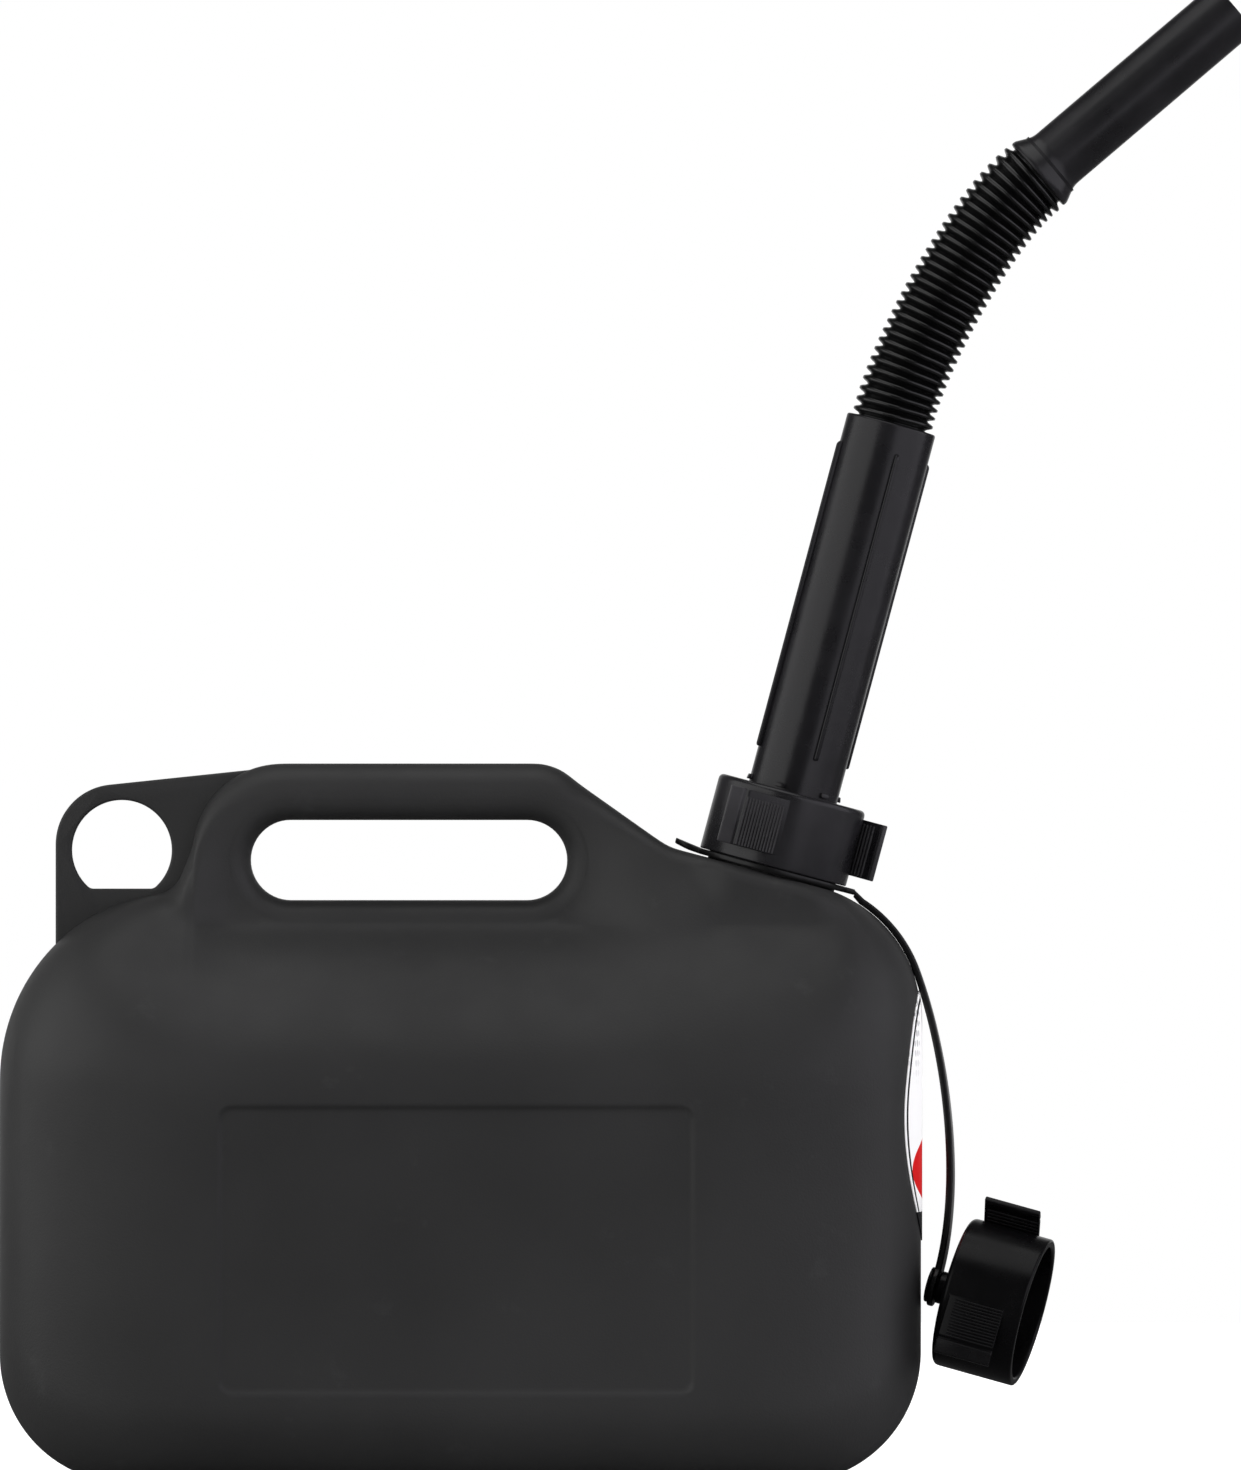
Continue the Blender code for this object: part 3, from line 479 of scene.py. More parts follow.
# plain print: a dark rim, a dotted head, a red patch and a dark foot
def makeLabelMaterial():
    f = labelPrint
    material, tree, shader, coords = newMaterial("printedLabel", f["roughness"], f["specular"])
    uv = addNode(tree, "ShaderNodeUVMap", uv_map="print").outputs[0]
    parts = addNode(tree, "ShaderNodeSeparateXYZ", {"Vector": uv})
    u, v = [maths(tree, "SUBTRACT", maths(tree, "MULTIPLY", parts.outputs[axis], 2.0), 1.0)
            for axis in ("X", "Y")]
    radius = maths(tree, "SQRT", maths(tree, "ADD", squareOf(tree, u), squareOf(tree, v)))
    dots = addNode(tree, "ShaderNodeTexVoronoi", {"Vector": coords, "Scale": f["dotScale"],
                                                  "Randomness": 0.0}, feature="F1").outputs["Distance"]
    dotted = maths(tree, "MULTIPLY", maths(tree, "LESS_THAN", dots, f["dotSize"]),
                   remap(tree, v, *f["dotFade"], 0.0, 1.0))
    colour = blendColour(tree, dotted, f["white"], f["grey"])
    across = maths(tree, "DIVIDE", u, f["patchHalf"][0])
    up = maths(tree, "DIVIDE", maths(tree, "SUBTRACT", v, f["patchCentre"]), f["patchHalf"][1])
    spread = maths(tree, "ADD", squareOf(tree, across), squareOf(tree, up))
    colour = blendColour(tree, maths(tree, "LESS_THAN", spread, 1.0), colour, f["red"])
    foot = maths(tree, "LESS_THAN", v, f["footTop"])
    colour = blendColour(tree, foot, colour, f["ink"])
    rim = maths(tree, "MULTIPLY", maths(tree, "GREATER_THAN", radius, f["borderStart"]),
                maths(tree, "LESS_THAN", radius, f["borderEnd"]))
    tree.links.new(blendColour(tree, rim, colour, f["ink"]), shader.inputs["Base Color"])
    mottle = noise(tree, coords, f["mottleScale"], 3.0)
    tree.links.new(remap(tree, mottle, *noiseRange, *f["dull"]), shader.inputs["Roughness"])
    return material


canMaterial = makeCanMaterial()
tubeMaterial = makeGlossMaterial("satinTubePlastic", (0.0066, 0.0062, 0.0074), 0.27, -neckTilt, 0.5)
nozzleMaterial = makeGlossMaterial("satinNozzlePlastic", (0.0080, 0.0076, 0.0088), 0.30,
                                   -neckTilt - bendTurn, 0.5)
collarMaterial = makeGlossMaterial("satinCollarPlastic", (0.0092, 0.0088, 0.0102), 0.28, -neckTilt, 0.55)
# paler copies of the collar and cap plastic: a painted highlight on the wing tips and grip ribs, where they
# catch the light
collarRibHighlightMaterial = makeGlossMaterial("collarRibsPaintedHighlight", (0.0260, 0.0250, 0.0275), 0.34, -neckTilt, 0.5)
capMaterial = makeGlossMaterial("satinCapPlastic", (0.0019, 0.0018, 0.0021), 0.26, radians(75.0), 0.22)
capRibHighlightMaterial = makeGlossMaterial("capRibsPaintedHighlight", (0.0050, 0.0048, 0.0053), 0.28, radians(75.0), 0.24)
hoseMaterial = makeSoftMaterial("softHosePlastic", (0.0030, 0.0030, 0.0031), 0.20, 900.0, 0.6)
strapMaterial = makeSoftMaterial("flexibleStrapPlastic", (0.0022, 0.0022, 0.0023), 0.30, 700.0)
rubberMaterial = makeSoftMaterial("sealRubber", (0.0150, 0.0150, 0.0150), 0.62, 1200.0)
foamMaterial = makeSoftMaterial("linerFoam", (0.3000, 0.3000, 0.2900), 0.80, 1500.0)
labelMaterial = makeLabelMaterial()
print("materials ready")

# can body
canForm = dict(halfLength=0.155, halfDepth=0.064, height=0.2405, flatHalf=0.080, planPower=2.55,
               planEnd=0.99999, baseCorner=0.0435, baseEdge=0.026, baseFlat=0.62, wallTop=0.132,
               domeRise=0.030, ridgeBase=0.1865, ridgeHalf=0.014, ridgeShare=0.5, topRound=0.0095,
               roundShare=0.93, slotFront=0.03595, legRear=-0.09005, legWidth=0.0195, legRound=0.030,
               landHalf=0.029, landRound=0.005, landRearHalf=0.021, flankStart=0.078, flankEnd=0.090,
               sidePower=1.8, roundPower=0.5, plainPower=1.0, webSlope=0.6, neckRadius=0.022,
               topGap=0.0003, baseGap=0.0009, leastHalf=0.0004, leastSide=0.0001, sharpAngle=34)
panelForm = dict(centre=(-0.0008, 0.0785), half=(0.07875, 0.0475), corner=0.004, depth=0.0010, edge=0.0009)
panelRows = (-0.0018, -0.0009, -0.0004, 0.0, 0.0004, 0.0009, 0.0018, 0.0030, 0.0045)
# top outline; handleEnd holds places along the can and drops below the handle's top
lineForm = dict(rearRun=0.060, rearRise=0.063, rearHeight=0.134, rearTurn=radians(86.0),
                notchRun=0.004725, notchHeight=0.200375, legTurn=radians(176.0),
                handleEnd=((0.0280, 0.0), (0.0341, 0.0021), (0.0402, 0.0070), (0.0660, 0.0253)),
                landReach=0.034, spacing=0.0005, softReach=12, softSpread=4.5,
                rearSteps=40, legSteps=24, frontSteps=48)


def smoothStep(share):
    share = np.clip(share, 0.0, 1.0)
    return share * share * (3 - 2 * share)


def landHeight(x):
    return neckBase.z - (x - neckBase.x) * tan(neckTilt)


# top outline from rear to front, as points a set distance apart
def topLine():
    c, f = canForm, lineForm
    points = []
    for turn in np.linspace(0.0, f["rearTurn"], f["rearSteps"]):
        points.append((-c["halfLength"] + f["rearRun"] - f["rearRun"] * cos(turn),
                       f["rearHeight"] + f["rearRise"] * sin(turn)))
    points.append((c["legRear"] - f["notchRun"], f["notchHeight"]))
    legCentre = (c["legRear"] + c["legRound"], c["height"] - c["legRound"])
    points += arc(legCentre, c["legRound"], f["legTurn"], radians(90.0), f["legSteps"])
    points += [(x, c["height"] - drop) for x, drop in f["handleEnd"]]
    landStart = neckBase.x - f["landReach"]
    points.append((landStart, landHeight(landStart)))
    points += arc((c["halfLength"] - shoulderRadius, shoulderHeight), shoulderRadius,
                  radians(90.0) - neckTilt, 0.0, f["frontSteps"])
    points = np.array(points)
    steps = np.hypot(*np.diff(points, axis=0).T)
    distance = np.concatenate([[0.0], np.cumsum(steps)])
    even = np.arange(0.0, distance[-1], f["spacing"])
    line = np.stack([np.interp(even, distance, points[:, k]) for k in (0, 1)], axis=1)
    # soften the corners between the stretches
    reach = f["softReach"]
    kernel = np.exp(-0.5 * (np.arange(-reach, reach + 1) / f["softSpread"]) ** 2)
    kernel /= kernel.sum()
    front = 2 * line[0] - line[reach:0:-1]
    back = 2 * line[-1] - line[-2:-reach - 2:-1]
    padded = np.concatenate([front, line, back])
    line = np.stack([np.convolve(padded[:, k], kernel, "valid") for k in (0, 1)], axis=1)
    line[0] = points[0]
    line[-1] = points[-1]
    return line


topPoints = topLine()


def crest(x):
    return float(np.interp(x, topPoints[:, 0], topPoints[:, 1]))


def keel(x):
    c = canForm["baseCorner"]
    inward = c - min(c, canForm["halfLength"] - abs(x))
    return c - max(0.0, c * c - inward * inward) ** 0.5


def planHalf(x):
    c = canForm
    reach = max(0.0, abs(x) - c["flatHalf"]) / (c["halfLength"] - c["flatHalf"])
    reach = min(reach, c["planEnd"])
    return c["halfDepth"] * (1 - reach ** c["planPower"]) ** (1 / c["planPower"])


# half width, top round and dome power of the ridge at x
def ridge(x):
    c = canForm
    dome, plain = c["roundPower"], c["plainPower"]
    rows = (
        (-c["halfLength"], c["ridgeHalf"], c["ridgeHalf"], dome),
        (c["legRear"] - 2 * c["legWidth"], c["ridgeHalf"], c["ridgeHalf"], dome),
        (c["legRear"], c["ridgeHalf"], c["topRound"], plain),
        (c["slotFront"], c["ridgeHalf"], c["topRound"], plain),
        (c["flankStart"], c["landRearHalf"], c["landRound"], plain),
        (c["flankEnd"], c["landHalf"], c["landRound"], plain),
        (neckBase.x + c["neckRadius"], c["landHalf"], c["landRound"], plain),
        (c["halfLength"], c["landHalf"], c["landHalf"], dome),
    )
    for low, high in zip(rows, rows[1:]):
        if x <= high[0]:
            break
    share = smoothStep((x - low[0]) / (high[0] - low[0]))
    half, rounding, power = [a + (b - a) * share for a, b in zip(low[1:], high[1:])]
    half = min(half, planHalf(x) * c["ridgeShare"])
    return half, min(rounding, half * c["roundShare"]), power


# heights where the side leaves the wall, meets the ridge, and where the ridge rounds over
def shoulder(x):
    c = canForm
    top = crest(x)
    high = top - ridge(x)[1] - c["topGap"]
    return min(c["wallTop"], top - c["domeRise"]), min(high - c["baseGap"], c["ridgeBase"]), high


# the upper part of each section, softened on a grid where surfaces meet
sectionForm = dict(spread=0.0036, kernelReach=3, roundDepth=1.15, domePower=2.1, rearDome=(-0.130, -0.074),
                   frontDome=(0.116, 0.150), gridLow=0.090, gridHigh=0.250, gridGuard=1.001)
gridStep = 0.0005
gridReach = round(canForm["halfLength"] / gridStep)
gridRows = [round(sectionForm[level] / gridStep) for level in ("gridLow", "gridHigh")]
gridX = np.arange(-gridReach, gridReach + 1) * gridStep
gridZ = np.arange(gridRows[0], gridRows[1] + 1) * gridStep


def ridgedShares(x):
    c = canForm
    side = max(planHalf(x), c["leastSide"])
    half, _, power = ridge(x)
    low, base, high = shoulder(x)
    rise = np.clip((gridZ - low) / (base - low), 0.0, 1.0)
    dome = (side - half) * (1 - rise ** c["sidePower"]) ** power
    fill = smoothStep((x - c["slotFront"]) / (c["flankStart"] - c["slotFront"]))
    fill -= smoothStep((x - c["flankStart"]) / (c["flankEnd"] - c["flankStart"]))
    web = c["webSlope"] * fill * rise ** 2 * np.clip(high - gridZ, 0.0, None)
    return (half + np.hypot(dome, web)) / side


def softened(values, axis):
    reach = int(sectionForm["kernelReach"] * sectionForm["spread"] / gridStep)
    kernel = np.exp(-0.5 * (np.arange(-reach, reach + 1) * gridStep / sectionForm["spread"]) ** 2)
    edges = [(0, 0), (0, 0)]
    edges[axis] = (reach, reach)
    padded = np.pad(values, edges, mode="edge")
    return np.apply_along_axis(np.convolve, axis, padded, kernel / kernel.sum(), "valid")


shareGrid = softened(softened(np.array([ridgedShares(x) for x in gridX]), 0), 1)


def gridShare(x, z):
    guard = sectionForm["gridGuard"]
    across = min(max((x - gridX[0]) / gridStep, 0.0), len(gridX) - guard)
    up = min(max((z - gridZ[0]) / gridStep, 0.0), len(gridZ) - guard)
    i, j = int(across), int(up)
    a, b = across - i, up - j
    rear = shareGrid[i, j] * (1 - b) + shareGrid[i, j + 1] * b
    front = shareGrid[i + 1, j] * (1 - b) + shareGrid[i + 1, j + 1] * b
    return float(rear * (1 - a) + front * a)


# both ends close in a plain dome instead of the ridge
def domeShare(x):
    rear, front = sectionForm["rearDome"], sectionForm["frontDome"]
    atRear = smoothStep((rear[1] - x) / (rear[1] - rear[0]))
    return float(atRear + smoothStep((x - front[0]) / (front[1] - front[0])))


def halfWidth(x, z):
    c, s = canForm, sectionForm
    side, bottom, top = planHalf(x), keel(x), crest(x)
    if z < bottom + c["baseEdge"]:
        level = min(1.0, max(0.0, (bottom + c["baseEdge"] - z) / c["baseEdge"]))
        flat = side * c["baseFlat"]
        return flat + (side - flat) * (1 - level * level) ** 0.5
    half, rounding = ridge(x)[:2]
    share = gridShare(x, z)
    level = min(1.0, (z - top + rounding) / rounding)
    if level > 0:
        depth = min(half * c["roundShare"], rounding * s["roundDepth"])
        share *= 1 - depth / half * (1 - (1 - level * level) ** 0.5)
    dome = domeShare(x)
    if dome > 0:
        low = shoulder(x)[0]
        level = min(1.0, max(0.0, (z - low) / (top - low)))
        share += ((1 - level ** s["domePower"]) ** (1 / s["domePower"]) - share) * dome
    return side * share


# how far the shallow panel lies below the flat side
def panelSink(x, z):
    p = panelForm
    dx = abs(x - p["centre"][0]) - (p["half"][0] - p["corner"])
    dz = abs(z - p["centre"][1]) - (p["half"][1] - p["corner"])
    outside = float(np.hypot(max(dx, 0.0), max(dz, 0.0))) + min(max(dx, dz), 0.0) - p["corner"]
    return p["depth"] * float(smoothStep(0.5 - outside / (2 * p["edge"])))


rowSteps = dict(base=10, panel=12, dome=22, ridge=8, top=12)
stationForm = dict(spacing=0.0016, gap=0.00012, endRun=0.00095, endGap=0.000005,
                   endSteps=(0.0, 0.00001, 0.00004, 0.0001, 0.0002, 0.0005, 0.0009))


def sideHeights(x):
    c, p, count = canForm, panelForm, rowSteps
    bottom = keel(x)
    low, base, high = shoulder(x)
    rounding = ridge(x)[1]
    top = crest(x)
    quarter = pi / 2
    wallLow = bottom + c["baseEdge"]
    heights = [bottom + c["baseEdge"] * (1 - cos(quarter * step / count["base"]))
               for step in range(count["base"] + 1)]
    panelLow, panelHigh = p["centre"][1] - p["half"][1], p["centre"][1] + p["half"][1]
    edgeRun = panelRows[-1]
    rows = [panelLow + d for d in panelRows]
    rows += [panelLow + edgeRun + (panelHigh - panelLow - 2 * edgeRun) * k / count["panel"]
             for k in range(1, count["panel"])]
    rows += [panelHigh - d for d in reversed(panelRows)]
    shares = [(z - c["baseEdge"]) / (c["wallTop"] - c["baseEdge"]) for z in rows]
    heights += [wallLow + (low - wallLow) * share for share in shares]
    heights += [low + (base - low) * sin(quarter * step / count["dome"]) ** (2 / c["sidePower"])
                for step in range(count["dome"] + 1)]
    heights += [base + (high - base) * step / count["ridge"] for step in range(1, count["ridge"] + 1)]
    heights += [top - rounding + rounding * sin(quarter * step / count["top"])
                for step in range(count["top"] + 1)]
    return heights


# places of the rings along the can, closer at both ends and at the panel's edges
def canStations():
    f, end = stationForm, canForm["halfLength"]
    xs = [side * (end - step) for side in (-1, 1) for step in f["endSteps"]]
    distance = np.concatenate([[0.0], np.cumsum(np.hypot(*np.diff(topPoints, axis=0).T))])
    for d in np.arange(0.0, distance[-1], f["spacing"]):
        xs.append(float(np.interp(d, distance, topPoints[:, 0])))
    for inner in (1, -1):
        edge = panelForm["centre"][0] - inner * panelForm["half"][0]
        xs += [edge + inner * d for d in panelRows]
    last = -1.0
    for x in sorted(xs):
        gap = f["endGap"] if end - abs(x) < f["endRun"] else f["gap"]
        if x - last > gap:
            last = x
            yield x


def canRing(x):
    side = []
    for z in sideHeights(x):
        half = halfWidth(x, z) - panelSink(x, z)
        side.append((max(half, canForm["leastHalf"]), z))
    ring = [(x, y, z) for y, z in side]
    return ring + [(x, -y, z) for y, z in reversed(side)]


slotForm = dict(centre=(-0.0173, 0.2080), halfLength=0.05325, radius=0.0135, rimRound=0.0084,
                rimDepth=0.0100, rimTurn=radians(81.0), rimBlend=1.25, rimRun=0.0012, halfDepth=0.014,
                overrun=0.006, rimSteps=18, endSteps=28, flatGap=0.0001, rimReach=0.03,
                inside=-0.001, slopeStep=0.001)


# finger slot that flares out to both sides in a round rim
def slotCutter():
    s = slotForm
    levels = []
    for step in range(s["rimSteps"], -1, -1):
        turn = s["rimTurn"] * step / s["rimSteps"]
        out = s["halfDepth"] - s["rimDepth"] + s["rimDepth"] * sin(turn)
        levels.append((out, s["rimRound"] * (1 - cos(turn))))
    levels.insert(0, (levels[0][0] + s["overrun"], levels[0][1] + s["rimRun"]))
    levels += [(-out, spread) for out, spread in reversed(levels)]
    rings = []
    run = s["halfLength"] - s["radius"]
    for out, spread in levels:
        radius = s["radius"] + spread
        ring = arc((s["centre"][0] + run, s["centre"][1]), radius, -pi / 2, pi / 2, s["endSteps"])
        ring += arc((s["centre"][0] - run, s["centre"][1]), radius, pi / 2, pi * 1.5, s["endSteps"])
        rings.append([(x, out, z) for x, z in ring])
    return loft("slotCutter", rings)


# how far a point lies outside the slot's outline, and which way
def slotDistance(x, z):
    s = slotForm
    run = s["halfLength"] - s["radius"]
    dx = x - s["centre"][0]
    away = Vector((dx - min(max(dx, -run), run), 0.0, z - s["centre"][1]))
    return away.length - s["radius"], away.normalized()


# let the shading run from the slot's rim into the side without a line
def smoothRim(piece):
    s, mesh = slotForm, piece.data
    step = s["slopeStep"]
    normals = [corner.vector.copy() for corner in mesh.corner_normals]
    for loop in mesh.loops:
        x, y, z = mesh.vertices[loop.vertex_index].co
        flat = abs(y) < s["halfDepth"] - s["rimDepth"] - s["flatGap"]
        if flat or abs(z - s["centre"][1]) > s["rimReach"]:
            continue
        distance, away = slotDistance(x, z)
        share = distance / (s["rimRound"] * s["rimBlend"])
        if not s["inside"] < share < 1.0:
            continue
        side = Vector((0.0, 1.0 if y > 0 else -1.0, 0.0))
        slopeX = (halfWidth(x + step, z) - halfWidth(x - step, z)) / (2 * step)
        slopeZ = (halfWidth(x, z + step) - halfWidth(x, z - step)) / (2 * step)
        plain = Vector((-slopeX, side.y, -slopeZ)).normalized()
        turn = acos(1 - min(1.0, max(0.0, share)))
        rim = side * sin(turn) - away * cos(turn)
        normals[loop.index] = rim.lerp(plain, float(smoothStep(share))).normalized()
    mesh.normals_split_custom_set(normals)


tabForm = dict(thickness=0.004, reach=0.1362, corner=0.0202, hole=0.0168, holeZ=0.2114, rim=0.0055,
               flatDrop=0.0130, topDrop=0.0070, topSink=0.001, legSink=0.006, foot=(-0.110, 0.162),
               cutReach=0.01, edge=0.0012, cornerSteps=20, holeSteps=60)


# flat storage tab with its D-shaped hole
def tabPlate():
    t, c = tabForm, canForm
    corner = (-t["reach"] + t["corner"], c["height"] - t["topDrop"] - t["corner"])
    topEnd = (c["legRear"] + c["legRound"], c["height"] - t["topSink"])
    slope = asin((topEnd[1] - corner[1] - t["corner"]) / (topEnd[0] - corner[0]))
    inLeg = c["legRear"] + t["legSink"]
    outer = [(-t["reach"], t["foot"][1])]
    outer += arc(corner, t["corner"], pi, pi / 2 + slope, t["cornerSteps"]) + [topEnd]
    outer += [(inLeg, c["height"] - c["legRound"]), (inLeg, c["ridgeBase"]), t["foot"]]
    tab = extruded("tabPlate", outer, -t["thickness"] / 2, t["thickness"] / 2)
    flat = asin(t["flatDrop"] / t["hole"])
    hole = arc((-t["reach"] + t["rim"] + t["hole"], t["holeZ"]), t["hole"], -flat, pi + flat, t["holeSteps"])
    solve(tab, extruded("tabHole", hole, -t["cutReach"], t["cutReach"]), "DIFFERENCE")
    bevelEdges(tab, t["edge"], 3)
    return place(tab, Matrix.Rotation(pi / 2, 4, "X"))


neckForm = dict(radius=0.022, wall=0.0025, length=0.0214, foot=-0.006, round=0.0009, turns=1.6, rise=0.0064,
                threadStart=0.0085, threadSink=0.0006, threadAngle=60, ridge=0.0011, sides=96,
                boreShare=0.985, boreDrop=0.05, boreRise=0.03, boreSides=64)


def neckPieces():
    n = neckForm
    inner = n["radius"] - n["wall"]
    profile = [(n["radius"], n["foot"]), (n["radius"], n["length"]), (inner, n["length"]),
               (inner, n["foot"])]
    profile = roundCorners(profile, (0, n["round"], n["round"], 0))
    neck = finish(place(revolve("neckWall", profile, n["sides"]), neckPlace), canMaterial)
    thread = grow(meshFrom("neckThread", [(0, 0, 0)]), threadTree, {
        "Turns": n["turns"], "Radius": n["radius"] - n["threadSink"], "Rise": n["rise"],
        "Ridge": n["ridge"], "Material": canMaterial})
    place(thread, neckPlace @ Matrix.Translation((0.0, 0.0, n["threadStart"])))
    return [neck, finish(thread, canMaterial, n["threadAngle"])]


# way from the neck into the can
def neckBoreCutter():
    n = neckForm
    radius = (n["radius"] - n["wall"]) * n["boreShare"]
    bore = [(0.0, -n["boreDrop"]), (radius, -n["boreDrop"]), (radius, n["boreRise"]), (0.0, n["boreRise"])]
    return place(revolve("neckBore", bore, n["boreSides"]), neckPlace)


def makeCan():
    shell = loft("canShell", [canRing(x) for x in canStations()])
    solve(shell, tabPlate(), "UNION")
    solve(shell, slotCutter(), "DIFFERENCE")
    solve(shell, neckBoreCutter(), "DIFFERENCE")
    finish(shell, canMaterial, canForm["sharpAngle"])
    shell = merge("canShell", [shell] + neckPieces())
    finish(shell, None, canForm["sharpAngle"])
    smoothRim(shell)
    return shell


def standIn(piece, node, body):
    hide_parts(node)
    if body:
        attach(piece, body)
    print(piece.name, "ready:", len(piece.data.polygons), "faces")


standIn(makeCan(), "can_body", "can")

# label on the front end
labelForm = dict(half=(0.034, 0.042), centreZ=0.122, lift=0.00012, thickness=0.0003, rings=26, spokes=120,
                 searchSteps=40, sharpAngle=50)


def frontX(y, z):
    low, high = canForm["flatHalf"], canForm["halfLength"]
    for step in range(labelForm["searchSteps"]):
        x = (low + high) / 2
        if z <= crest(x) and halfWidth(x, z) >= abs(y):
            low = x
        else:
            high = x
    return low


def makeLabel():
    f = labelForm
    flat = [(0.0, 0.0)]
    for ring in range(1, f["rings"] + 1):
        share = ring / f["rings"]
        flat += [(share * cos(2 * pi * k / f["spokes"]), share * sin(2 * pi * k / f["spokes"]))
                 for k in range(f["spokes"])]
    points = []
    for u, v in flat:
        y, z = u * f["half"][0], f["centreZ"] + v * f["half"][1]
        points.append((frontX(y, z), y, z))
    count = f["spokes"]
    faces = [(0, 1 + k, 1 + (k + 1) % count) for k in range(count)]
    for ring in range(f["rings"] - 1):
        low, high = 1 + ring * count, 1 + (ring + 1) * count
        faces += [(low + k, high + k, high + (k + 1) % count, low + (k + 1) % count) for k in range(count)]
    label = meshFrom("frontSticker", points, faces)
    layer = label.data.uv_layers.new(name="print")
    for loop in label.data.loops:
        u, v = flat[loop.vertex_index]
        layer.data[loop.index].uv = ((u + 1) / 2, (v + 1) / 2)
    for vertex, normal in zip(label.data.vertices, [n.vector.copy() for n in label.data.vertex_normals]):
        vertex.co += normal * f["lift"]
    shell = label.modifiers.new("thickness", "SOLIDIFY")
    shell.thickness = f["thickness"]
    shell.offset = 1.0
    return finish(settle(label), labelMaterial, f["sharpAngle"])


standIn(makeLabel(), "front_label", "can")

# strap ring round the neck
ringForm = dict(radius=0.026, hole=0.0226, holeLow=-0.01, holeHigh=0.02, low=0.0006, thickness=0.0019,
                tabReach=0.034, tabHalf=0.005, tabLift=0.0014, liftPower=1.5, stubReach=0.0288,
                stubHalf=0.004, edge=0.0004, ringSteps=48, tabSteps=24, holeSides=96)


def makeNeckRing():
    f = ringForm
    tab, stub = asin(f["tabHalf"] / f["radius"]), asin(f["stubHalf"] / f["radius"])
    outline = [(f["stubReach"], -f["stubHalf"]), (f["stubReach"], f["stubHalf"])]
    outline += arc((0.0, 0.0), f["radius"], stub, pi - tab, f["ringSteps"])
    outline += arc((-f["tabReach"] + f["tabHalf"], 0.0), f["tabHalf"], pi / 2, pi * 1.5, f["tabSteps"])
    outline += arc((0.0, 0.0), f["radius"], pi + tab, 2 * pi - stub, f["ringSteps"])
    ring = extruded("neckStrapRing", outline, f["low"], f["low"] + f["thickness"])
    hole = [(0.0, f["holeLow"]), (f["hole"], f["holeLow"]), (f["hole"], f["holeHigh"]),
            (0.0, f["holeHigh"])]
    solve(ring, revolve("ringHole", hole, f["holeSides"]), "DIFFERENCE")
    bevelEdges(ring, f["edge"], 2, 40)
    for vertex in ring.data.vertices:
        beyond = max(0.0, -vertex.co.x - f["radius"]) / (f["tabReach"] - f["radius"])
        vertex.co.z += f["tabLift"] * beyond ** f["liftPower"]
    return finish(place(ring, neckPlace), strapMaterial)


standIn(makeNeckRing(), "strap_neck_ring", "can")

# spout collar and cap, which share their grip wings
# highlightFrom is the radius beyond which the wing faces take the paler material, a painted highlight on the
# tips
wingForm = dict(count=3, pitch=radians(120.0), sweep=radians(45.0), firstTip=radians(-126.3),
                tipRadius=0.0347, highlightFrom=0.0316, thickness=0.0025, rootShare=0.4, rootSink=0.0003,
                lead=0.012, height=0.0193, drop=0.0028, wall=0.0254, edge=0.0004, steps=56,
                padLength=0.0043, padFall=0.0008, fallPower=1.2, grooveLength=0.0017,
                grooveDepth=0.0005, sharpAngle=32, ribAngle=60)
gripForm = dict(radius=0.00034, topMargin=0.0025, footMargin=0.0004, tipMargin=0.0063, run=0.0126,
                pitch=0.00105)
innerGripForm = dict(radius=0.00055, topMargin=0.0012, footMargin=0.0004, tipMargin=0.0055, run=0.0100,
                     pitch=0.0020)


def bezier(points, share):
    row = [Vector(p) for p in points]
    while len(row) > 1:
        row = [a.lerp(b, share) for a, b in zip(row, row[1:])]
    return row[0]


# outer and inner face of a wing, from its root on the wall to its free tip
def wingPaths(tipAngle):
    f = wingForm
    rootAngle = tipAngle + f["sweep"]
    root = Vector((cos(rootAngle), sin(rootAngle))) * (f["wall"] - f["rootSink"])
    tip = Vector((cos(tipAngle), sin(tipAngle))) * f["tipRadius"]
    leave = Vector((sin(rootAngle), -cos(rootAngle)))
    controls = (root, root + leave * f["lead"], tip)
    outer = [bezier(controls, step / f["steps"]) for step in range(f["steps"] + 1)]
    inner = []
    for step, point in enumerate(outer):
        ahead = (outer[min(f["steps"], step + 1)] - outer[max(0, step - 1)]).normalized()
        thick = f["thickness"] * (f["rootShare"] + (1 - f["rootShare"]) * step / f["steps"])
        inner.append(point + Vector((ahead.y, -ahead.x)) * thick)
    return outer, inner


def makeWing(tipAngle, top):
    f = wingForm
    outer, inner = wingPaths(tipAngle)
    grooved = []
    for point, back in zip(outer, inner):
        past = (point - outer[-1]).length - f["padLength"]
        dip = f["grooveDepth"] * sin(pi * min(1.0, max(0.0, past / f["grooveLength"])))
        fall = f["padFall"] * max(0.0, -past / f["padLength"]) ** f["fallPower"]
        grooved.append(point + (back - point).normalized() * (dip + fall))
    high = top - f["drop"]
    outline = [tuple(p) for p in grooved + inner[::-1]]
    return bevelEdges(extruded("gripWing", outline, high - f["height"], high), f["edge"], 3, 50)


# fine ribs for the outer face, coarse ones for the inner face
def makeGrip(path, g, top, material):
    steps = [(b - a).length for a, b in zip(path, path[1:])]
    distance = np.concatenate([[0.0], np.cumsum(steps)])
    end = distance[-1] - g["tipMargin"]
    count = round(g["run"] / g["pitch"]) + 1
    length = wingForm["height"] - g["topMargin"] - g["footMargin"]
    middle = top - wingForm["drop"] - g["topMargin"] - length / 2
    points = []
    for d in np.linspace(end - g["run"], end, count):
        x = np.interp(d, distance, [p.x for p in path])
        y = np.interp(d, distance, [p.y for p in path])
        points.append((x, y, middle))
    ribs = meshFrom("gripRibs", points, (), [(k, k + 1) for k in range(count - 1)])
    return grow(ribs, gripTree, {"Count": count, "Rib radius": g["radius"], "Material": material,
                                 "Rib length": length})


